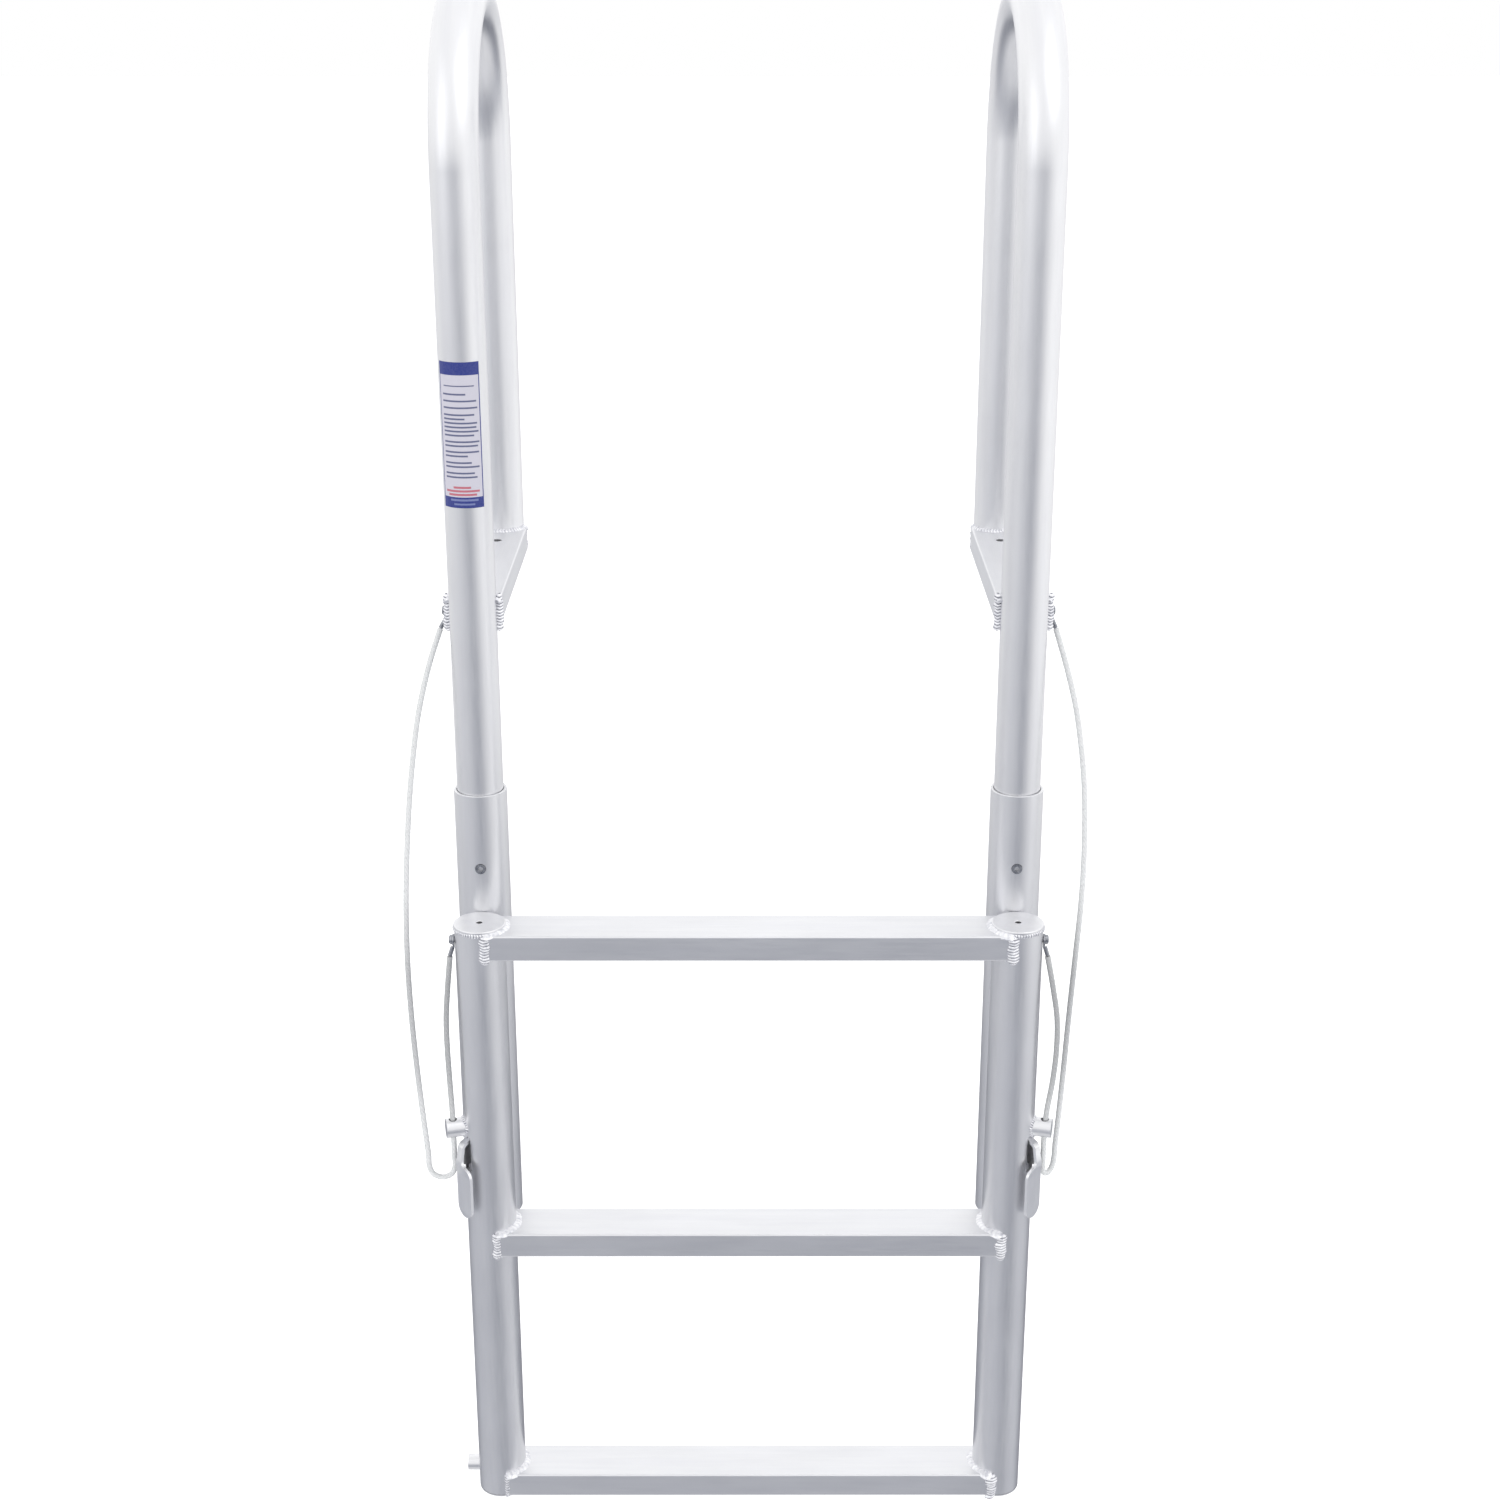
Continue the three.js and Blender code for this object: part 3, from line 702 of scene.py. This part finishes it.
def add_caps(side):
    """The stile's flat top cap with its vent hole, and its rounded foot."""
    low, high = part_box(f"stile_cap_{side}")
    radius = (high.x - low.x) / 2
    centre = middle(f"stile_cap_{side}")
    vent, ease = 3 * MM, 1.1 * MM
    rounding = [
        (radius - ease * (1 - math.cos(a)), high.z - ease * (1 - math.sin(a)))
        for a in np.linspace(0, math.pi / 2, 5)
    ]
    profile = [(radius, low.z), *rounding, (vent + 0.4 * MM, high.z), (vent, high.z - 0.4 * MM),
               (vent, low.z)]
    make(f"stile_cap_{side}_plate", turned(centre, profile), TUBE, "ladder",
         [f"stile_cap_{side}"])
    low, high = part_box(f"stile_foot_cap_{side}")
    radius = (high.x - low.x) / 2
    rim = high.z - low.z
    rounding = [
        (radius - 3 * MM * (1 - math.cos(a)), high.z - (rim - 0.4 * MM) * math.sin(a) - 0.4 * MM)
        for a in np.linspace(0, math.pi / 2, 7)
    ]
    profile = [(4 * MM, high.z), (radius, high.z), *rounding, (4.4 * MM, low.z),
               (4 * MM, low.z + 0.4 * MM)]
    make(f"stile_foot_cap_{side}_plate", turned(centre, profile), TUBE, "ladder",
         [f"stile_foot_cap_{side}"])


# ---------------------------------------------------------------- rectangular bars

def bar_outline(wide, tall, corner, flats=20, arc=5):
    """A rounded rectangle, its top and bottom divided so that they can follow a cope."""
    outline = []
    x, z = wide / 2 - corner, tall / 2 - corner
    for turn, (cx, cz) in enumerate(((x, z), (-x, z), (-x, -z), (x, -z))):
        for i in range(arc + 1):
            angle = math.pi / 2 * (turn + i / arc)
            outline.append((cx + corner * math.cos(angle), cz + corner * math.sin(angle)))
        if turn % 2 == 0:
            away = -cx
            outline += [(cx + (away - cx) * i / flats, cz + math.copysign(corner, cz))
                        for i in range(1, flats)]
    return outline


def hollow_bar(wide, tall, ends, place):
    """A hollow bar. ends(across) gives where it starts and stops, and place turns
    (across, up, along) into the row frame."""
    outer = bar_outline(wide, tall, BAR_CORNER)
    inner = bar_outline(wide - 2 * BAR_WALL, tall - 2 * BAR_WALL, BAR_CORNER / 2)
    inset = 0.35 * MM
    rings = []
    for outline, end, shrink, back in (
        (outer, 0, 0, inset), (outer, 1, 0, inset), (outer, 1, inset, 0), (inner, 1, 0, 0),
        (inner, 0, 0, 0), (outer, 0, inset, 0),
    ):
        ring = []
        for across, up in outline:
            along = ends(across)[end] + (back if end == 0 else -back)
            ring.append(place(across * (1 - 2 * shrink / wide), up * (1 - 2 * shrink / tall), along))
        rings.append(ring)
    return loft(rings, closed=True)


def coped(limit, axis_place, radius, across):
    """How far a bar reaches where it is cut to fit a tube standing at axis_place."""
    reach = radius**2 - across**2
    return limit if reach <= 0 else min(limit, axis_place - math.sqrt(reach))


def add_step(node):
    """A hollow step, its ends cut to fit the stiles."""
    low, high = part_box(node)
    centre = middle(node)
    half = high.x

    def ends(across):
        end = coped(half, HALF_SPACING, STILE_RADIUS + GAP, across)
        return -end, end

    shape = hollow_bar(
        high.y - low.y, high.z - low.z, ends,
        lambda across, up, along: Vector((along, centre.y + across, centre.z + up)))
    make(node + "_bar", shape, BAR, "ladder", [node], grain=ALONG_X)


DECK_HOLES = (60 * MM, 222 * MM)
DECK_HOLE_RADIUS = 4.75 * MM


def add_bracket(side):
    """A hollow deck bracket between a hoop's legs, with its two upright screw holes."""
    node = f"deck_bracket_{side}"
    low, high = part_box(node)
    centre = middle(node)
    hoop_low, hoop_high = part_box(f"handrail_hoop_{side}")
    front, rear = hoop_low.y + HOOP_RADIUS, hoop_high.y - HOOP_RADIUS

    def ends(across):
        clear = HOOP_RADIUS + GAP
        return (-coped(-low.y, -front, clear, across), coped(high.y, rear, clear, across))

    shape = hollow_bar(
        high.x - low.x, high.z - low.z, ends,
        lambda across, up, along: Vector((centre.x + across, along, centre.z + up)))
    bracket = new_object(node + "_bar", shape)
    cut_with(bracket, [
        rod_shape(Vector((centre.x, y, centre.z)), UP, DECK_HOLE_RADIUS, 60 * MM)
        for y in DECK_HOLES
    ])
    finish_piece(bracket, BAR, "deck_frame", [node], grain=ALONG_Y)


# ---------------------------------------------------------------- welds

RIPPLE = 3.0 * MM


def bead(path, normals, width, height, pitch=RIPPLE, closed=False, depth=0.5, seed=0):
    """A weld bead along a path: overlapping crescent ripples, low at both ends. depth is how far
    the creases between them sink. Returns its skin and each point's place on its ripple."""
    chance = np.random.default_rng(seed)
    line = [path[0]]
    facing = [normals[0]]
    step = pitch / 8
    for (a, b), (n, m) in zip(zip(path, path[1:]), zip(normals, normals[1:])):
        count = max(1, round((b - a).length / step))
        for i in range(1, count + 1):
            line.append(a.lerp(b, i / count))
            facing.append(n.lerp(m, i / count).normalized())
    if closed:
        line, facing = line[:-1], facing[:-1]
    total = path_length(line)
    ripples = int(total / pitch) + 3
    swell = 1 + 0.13 * chance.standard_normal(ripples)
    wander = 0.05 * width * chance.standard_normal(ripples)
    rings, crests, along, before = [], [], 0.0, line[0]
    for (point, tangent, _, _), normal in zip(frames_along(line, closed), facing):
        along += (point - before).length
        before = point
        turn, share = int(along / pitch), (along / pitch) % 1
        normal = (normal - tangent * normal.dot(tangent)).normalized()
        side = tangent.cross(normal)
        crest = math.sin(math.pi * share) ** 0.8
        rise = 1 - depth * (1 - crest)
        blend = swell[turn] + (swell[turn + 1] - swell[turn]) * share
        near = 1.0 if closed else min(1.0, min(along, total - along) / (0.45 * width) + 0.02)
        taper = math.sqrt(max(0.0, 1 - (1 - near) ** 2))
        drift = wander[turn] + (wander[turn + 1] - wander[turn]) * share
        ring = []
        for out, up in circle(16):
            lag = 0.3 * pitch * up if closed else 0.5 * pitch * (1 - abs(out)) ** 0.7
            reach = out * width / 2 * blend * (0.8 + 0.2 * rise) * taper + drift
            place = point + side * reach + normal * (up * height * rise * blend * taper)
            ring.append(place + tangent * (lag * taper))
            # this value also sets the painted shade of the weld's creases
            crests.append(1 - 2 * depth * (1 - crest))
        rings.append(ring)
    return *loft(rings, closed=closed, caps=not closed), crests


def add_weld(name, beads, body):
    """Several beads as one piece."""
    weld = make(name, together([part[:2] for part in beads]), WELD, body, sharp=60)
    add_attribute(weld.data, "crest", "FLOAT", [c for part in beads for c in part[2]])


def arc_bead(axis, radius, z, start, end, lean, width, height, seed, **shape):
    """A bead round an upright tube, from one angle to another in degrees. lean is how far
    its crown turns from straight up to straight out."""
    count = max(8, int(abs(end - start) / 4))
    path, normals = [], []
    for i in range(count + 1):
        angle = math.radians(start + (end - start) * i / count)
        out = Vector((math.cos(angle), math.sin(angle), 0))
        path.append(Vector((axis.x, axis.y, z)) + out * radius)
        normals.append((UP * math.cos(lean) + out * math.sin(lean)).normalized())
    return bead(path, normals, width, height, seed=seed, **shape)


def straight_bead(start, end, normal, width, height, seed):
    """A bead along a straight joint."""
    return bead([start, (start + end) / 2, end], [normal] * 3, width, height, seed=seed)


STUB_LEAN = 0.9                    # how far the crown of a bead round a stub turns outward


def saddle_bead(axis, tube_radius, direction, stub_radius, z, seed):
    """A bead round a stub that stands out from an upright tube."""
    across = Vector((-direction.y, direction.x, 0))
    path, normals = [], []
    for i in range(33):
        angle = TURN * i / 32
        side, up = stub_radius * math.cos(angle), stub_radius * math.sin(angle)
        out = math.sqrt(tube_radius**2 - side**2)
        path.append(Vector((axis.x, axis.y, z + up)) + direction * out + across * side)
        radial = across * math.cos(angle) + UP * math.sin(angle)
        normals.append((radial + direction * STUB_LEAN).normalized())
    return bead(path, normals, 4.2 * MM, 1.7 * MM, pitch=2.2 * MM, closed=True, seed=seed)


def peg_bead(axis, seed):
    """A bead round the front of the stop peg, which is off the stile's axis. Its rear part is
    left out, because the sleeve passes close behind."""
    peg = middle("lower_stop_peg_left")
    offset = Vector((axis.x, peg.y, 0))
    path, normals = [], []
    for i in range(25):
        angle = TURN * i / 24
        up, across = PEG_BEAD_RADIUS * math.sin(angle), PEG_BEAD_RADIUS * math.cos(angle)
        from_axis = peg.y + across - STILE_Y
        reach = math.sqrt(max(STILE_RADIUS**2 - from_axis**2, (2 * MM) ** 2))
        point = offset + OUT["left"] * reach + Vector((0, across, peg.z + up))
        if point.y >= PEG_BEAD_REAR:
            continue
        path.append(point)
        radial = Vector((0, math.cos(angle), math.sin(angle)))
        normals.append((radial + OUT["left"] * STUB_LEAN).normalized())
    return bead(path, normals, 3.4 * MM, 1.2 * MM, pitch=2.2 * MM, seed=seed)


def mirror_angles(side, start, end):
    """Angles drawn for the right side, where outward is 0 degrees, turned for the left."""
    return (start, end) if side == "right" else (180 - start, 180 - end)


PEG_BEAD_RADIUS = 8 * MM
PEG_BEAD_REAR = -27.6 * MM
EYE_BEAD_RADIUS = 9.5 * MM

# How wide each front upright bead is: two of the left-hand ones were laid finer.
FRONT_BEAD = 11.0 * MM
FINE_BEADS = {"step_middle_left": 8.5 * MM, "step_bottom_left": 5.0 * MM}


def add_step_welds(node, side, seed):
    """The front upright bead and the bead along the stile, above and below a step."""
    low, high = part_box(node)
    sign = SIDES[side]
    axis = Vector((sign * HALF_SPACING, STILE_Y, 0))
    at = Vector((sign * (high.x + 1.0 * MM), low.y + 0.8 * MM, 0))
    facing = Vector((sign * 0.25, -1, 0)).normalized()
    wide = FINE_BEADS.get(f"{node}_{side}", FRONT_BEAD)
    front = straight_bead(
        at + UP * (high.z + 0.4 * MM), at + UP * (low.z - 0.36 * wide), facing,
        wide, 0.24 * wide, seed)
    start, end = mirror_angles(side, 258, 122)
    top = arc_bead(axis, STILE_RADIUS + 2.4 * MM, high.z - 0.1 * MM, start, end, 0.42,
                   10.5 * MM, 1.8 * MM, seed + 1, depth=0.2, pitch=4.5 * MM)
    under = arc_bead(axis, STILE_RADIUS + 0.6 * MM, low.z, start, end, math.pi - 0.7,
                     5.5 * MM, 1.8 * MM, seed + 2)
    add_weld(f"{node}_weld_{side}", [front, top, under], "ladder")


def add_bracket_welds(side, seed):
    """Beads where a deck bracket meets the hoop's two legs."""
    sign = SIDES[side]
    low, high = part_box(f"deck_bracket_{side}")
    hoop_low, hoop_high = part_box(f"handrail_hoop_{side}")
    centre_x = sign * HALF_SPACING
    shapes = []
    for leg_y, bar_end, facing_y, start, end, wide, out, past in (
        (hoop_low.y + HOOP_RADIUS, low.y, -1, -5, 185, 7.6 * MM, 24.4 * MM, 6 * MM),
        (hoop_high.y - HOOP_RADIUS, high.y, 1, 5, -185, 4.6 * MM, 23.8 * MM, 0),
    ):
        for edge in (-1, 1):
            at = Vector((centre_x + edge * out, bar_end + facing_y * 0.6 * MM, 0))
            normal = Vector((edge * 0.4, facing_y, 0)).normalized()
            shapes.append(straight_bead(
                at + UP * (high.z + 0.4 * MM + past), at + UP * (low.z + 1.2 * MM - past), normal,
                wide, 0.3 * wide, seed))
            seed += 1
        axis = Vector((centre_x, leg_y, 0))
        shapes.append(arc_bead(axis, HOOP_RADIUS + 1.2 * MM, high.z, start, end, 0.6,
                               7.2 * MM, 2.2 * MM, seed, depth=0.35))
        seed += 1
    add_weld(f"deck_bracket_weld_{side}", shapes, "deck_frame")


def add_stile_welds(side, seed):
    """The fine bead under the stile's cap, and those round the eye and the stop peg."""
    sign = SIDES[side]
    axis = Vector((sign * HALF_SPACING, STILE_Y, 0))
    cap_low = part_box(f"stile_cap_{side}")[0].z
    shapes = [arc_bead(axis, STILE_RADIUS + 0.35 * MM, cap_low - 0.5 * MM, 0, 360, math.pi / 2,
                       4.0 * MM, 1.3 * MM, seed, closed=True, pitch=2.6 * MM)]
    eye = middle(f"lanyard_eye_{side}")
    direction = Vector((eye.x - axis.x, eye.y - axis.y, 0)).normalized()
    shapes.append(saddle_bead(axis, STILE_RADIUS, direction, EYE_BEAD_RADIUS, eye.z, seed + 1))
    if side == "left":
        shapes.append(peg_bead(axis, seed + 2))
    add_weld(f"stile_weld_{side}", shapes, "ladder")


# ---------------------------------------------------------------- label

INKS = {
    # painted shade: the white paper is greyed and cooled to its tone in shade
    "white": printed("label white", (0.48, 0.47, 0.54)),
    "blue": printed("label blue", (0.006, 0.019, 0.185)),
    "dark": printed("label dark", (0.09, 0.10, 0.19)),
    "red": printed("label red", (0.42, 0.11, 0.15)),
    "pale": printed("label pale", (0.13, 0.16, 0.35)),
}

# The plain print, as (from the top, from the left, to the right) in shares of the label.
TEXT_LINES = (
    (0.212, 0.11, 0.66), (0.258, 0.11, 0.90), (0.304, 0.11, 0.92), (0.352, 0.11, 0.84),
    (0.380, 0.11, 0.62), (0.408, 0.11, 0.90), (0.436, 0.11, 0.88), (0.464, 0.11, 0.93),
    (0.492, 0.11, 0.82), (0.536, 0.11, 0.94), (0.564, 0.11, 0.90), (0.606, 0.11, 0.92),
    (0.634, 0.11, 0.66), (0.680, 0.11, 0.74), (0.708, 0.11, 0.92), (0.752, 0.11, 0.80),
    (0.780, 0.11, 0.86),
)
RED_LINES = ((0.850, 0.30, 0.70), (0.875, 0.10, 0.90), (0.900, 0.17, 0.83))


def curved_patch(axis, radius, thickness, angles, heights, steps=24):
    """A closed patch that follows an upright tube between two angles and two heights."""
    rings = []
    for i in range(steps + 1):
        angle = angles[0] + (angles[1] - angles[0]) * i / steps
        out = Vector((math.sin(angle), -math.cos(angle), 0))
        rings.append([
            Vector((axis.x, axis.y, z)) + out * r
            for r, z in ((radius, heights[0]), (radius + thickness, heights[0]),
                         (radius + thickness, heights[1]), (radius, heights[1]))
        ])
    return loft(rings, caps=True)


def add_label():
    """The instruction label, with plain bars in place of its print."""
    node = "instruction_label_left"
    low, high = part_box(node)
    axis = Vector((-HALF_SPACING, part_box("handrail_hoop_left")[0].y + HOOP_RADIUS, 0))
    radius, sheet = HOOP_RADIUS + 0.05 * MM, 0.5 * MM
    left, right = math.radians(-58), math.radians(46)
    tall, spread = high.z - low.z, right - left
    parts = [curved_patch(axis, radius, sheet, (left, right), (low.z, high.z))]
    inks = ["white"]

    def patch(ink, from_left, to_right, from_top, to_bottom, lift=0.03 * MM):
        angles = (left + spread * from_left, left + spread * to_right)
        heights = (high.z - tall * to_bottom, high.z - tall * from_top)
        parts.append(curved_patch(axis, radius + sheet, lift, angles, heights))
        inks.append(ink)

    patch("blue", 0, 1, 0, 0.088)
    patch("blue", 0, 1, 0.925, 1)
    for edge in (0, 0.975):
        patch("blue", edge, edge + 0.025, 0.088, 0.925)
    patch("pale", 0.22, 0.86, 0.938, 0.952, 0.05 * MM)
    patch("pale", 0.30, 0.78, 0.968, 0.980, 0.05 * MM)
    patch("dark", 0.14, 0.86, 0.158, 0.166)
    for ink, lines, thick in (("dark", TEXT_LINES, 0.012), ("red", RED_LINES, 0.015)):
        for top, from_left, to_right in lines:
            patch(ink, from_left, to_right, top, top + thick)
    label = make(
        "instruction_label_sheet", together(parts), list(INKS.values()), "deck_frame",
        [node])
    numbers = [list(INKS).index(ink) for ink in inks]
    owner = np.repeat(numbers, [len(faces) for _, faces in parts])
    label.data.polygons.foreach_set("material_index", owner.astype(np.int32))


# ---------------------------------------------------------------- the whole object

for number, side in enumerate(SIDES):
    add_hoop(side)
    add_sleeve(side)
    add_bracket(side)
    add_caps(side)
    add_bracket_welds(side, 100 + 20 * number)
    add_stile_welds(side, 200 + 20 * number)
    refined(f"stile_{side}", TUBE, 0.2 * MM)
    refined(f"latch_lever_{side}", CAST, 0.5 * MM, sharp=28)
    refined(f"lanyard_eye_{side}", TUBE, 0.5 * MM)
    refined(f"rear_leg_plug_{side}", PLUG, 0.4 * MM)
    for level in ("upper", "lower"):
        refined(f"guide_block_{level}_{side}", SLIDE, 0.3 * MM)
        refined(f"guide_bolt_{level}_{side}", STEEL, 0.1 * MM)
        refined(f"guide_nut_{level}_{side}", STEEL, 0.1 * MM)
    for name in (
        "sleeve_set_screw", "bracket_lanyard_screw", "stile_lanyard_screw",
        "long_lanyard_lug", "short_lanyard_lug", "latch_pin",
    ):
        refined(f"{name}_{side}", STEEL, 0.2 * MM)
    refined(f"latch_spring_{side}", STEEL, 0.0, sharp=60)
for node in STEPS:
    add_step(node)
    for number, side in enumerate(SIDES):
        add_step_welds(node, side, 300 + 40 * STEPS.index(node) + 10 * number)
refined("lower_stop_peg_left", TUBE, 0.5 * MM)
add_label()


# ---------------------------------------------------------------- floor and light

FLOOR_HALF_WIDTH = 30.0
FLOOR_DROP = 0.45                  # how far the ladder's feet hang above it


def add_floor():
    """A plain pale floor, which glows a little so that it stays even."""
    material, shader = new_material("floor", (0.90, 0.90, 0.905), 0.85)
    shader.inputs["Emission Color"].default_value = (1, 1, 1, 1)
    shader.inputs["Emission Strength"].default_value = 0.35
    half, level = FLOOR_HALF_WIDTH, cad_box[0].z - FLOOR_DROP
    corners = [(-half, -half, level), (half, -half, level), (half, half, level),
               (-half, half, level)]
    floor = new_object("floor", (corners, [(0, 1, 2, 3)]))
    floor.data.materials.append(material)
    floor.visible_glossy = False       # the metal reflects the room instead


def add_area(name, place, target, size, power):
    """A soft rectangular light that faces its target."""
    data = bpy.data.lights.new(name, "AREA")
    data.shape, data.size, data.size_y = "RECTANGLE", *size
    data.energy = power
    light = bpy.data.objects.new(name, data)
    light.location = place
    light.rotation_euler = (Vector(target) - Vector(place)).to_track_quat("-Z", "Y").to_euler()
    bpy.context.scene.collection.objects.link(light)


# What the metal reflects, by heading: 0 and 1 are behind the object, 0.25 is to its left, 0.5 is
# in front of it and 0.75 to its right. Levels are of a white wall's brightness.
ROOM_BRIGHTNESS = 1.6
HIGH_ROOM = (
    (0.0, 1.23), (0.25, 1.13), (0.40, 1.12), (0.5, 1.13), (0.60, 1.13), (0.72, 1.18), (1.0, 1.23),
)
MIDDLE_ROOM = (
    (0.0, 0.62), (0.04, 0.82), (0.12, 1.0), (0.25, 0.92), (0.36, 0.80), (0.44, 0.68),
    (0.505, 0.40), (0.55, 0.50), (0.62, 1.08), (0.70, 1.30), (0.82, 1.22), (0.92, 1.0),
    (0.96, 0.82), (1.0, 0.62),
)
LOW_ROOM = (
    (0.0, 0.24), (0.10, 0.28), (0.20, 0.58), (0.36, 0.61), (0.46, 0.55), (0.52, 0.44),
    (0.555, 0.38), (0.61, 0.44), (0.67, 0.62), (0.76, 0.64), (0.84, 0.36), (0.92, 0.24),
    (1.0, 0.24),
)
FLOOR_LEVEL = ((0.0, 0.92), (1.0, 0.92))


def studio_world():
    """A pale room for the metal to reflect, in four tiers: overhead, at eye level, low down and
    the floor. The camera itself sees plain white."""
    world = bpy.data.worlds.new("studio")
    bpy.context.scene.world = world
    world.use_nodes = True
    graph = Graph(world)
    graph.nodes.clear()

    def tier(heading, stops):
        """A smooth ramp of grey levels round the room, cooler where it is darker."""
        colors = []
        for place, level in stops:
            share, cool = level / ROOM_BRIGHTNESS, 1 - min(1, level)
            colors.append((place, (share * (1 - 0.26 * cool), share * (1 - 0.20 * cool), share)))
        return graph.ramp(heading, colors, "B_SPLINE")

    def above(height, low, high):
        """0 under one height and 1 over another: the soft edge between two tiers."""
        return graph.ranged(height, 0, 1, low, high, "SMOOTHSTEP")

    parts = graph.nodes.new("ShaderNodeSeparateXYZ")
    view = graph.nodes.new("ShaderNodeTexCoord").outputs["Generated"]
    graph.links.new(view, parts.inputs[0])
    across, depth, height = parts.outputs
    angle = graph.calculated("ARCTAN2", across, graph.calculated("MULTIPLY", depth, -1))
    heading = graph.calculated("MULTIPLY_ADD", angle, 1 / TURN, 0.5)
    floor, low, middle_tier, high = (
        tier(heading, stops) for stops in (FLOOR_LEVEL, LOW_ROOM, MIDDLE_ROOM, HIGH_ROOM))
    lower = graph.mixed(floor, low, above(height, -0.85, -0.65))
    upper = graph.mixed(middle_tier, high, above(height, -0.10, 0.05))
    room = graph.mixed(lower, upper, above(height, -0.43, -0.34))
    seen = graph.nodes.new("ShaderNodeLightPath").outputs["Is Camera Ray"]
    color = graph.mixed(room, (1 / ROOM_BRIGHTNESS,) * 3, seen)
    background = graph.add("ShaderNodeBackground", Color=color, Strength=ROOM_BRIGHTNESS)
    output = graph.nodes.new("ShaderNodeOutputWorld")
    graph.links.new(background.outputs[0], output.inputs["Surface"])


add_floor()
studio_world()
add_area("key", (1.6, -1.2, 2.4), (0, 0, -0.2), (2.2, 2.2), 9)
add_area("fill", (-2.0, -1.6, 1.2), (0, 0, -0.3), (2.0, 2.4), 5)
bpy.context.scene.view_settings.view_transform = "Standard"
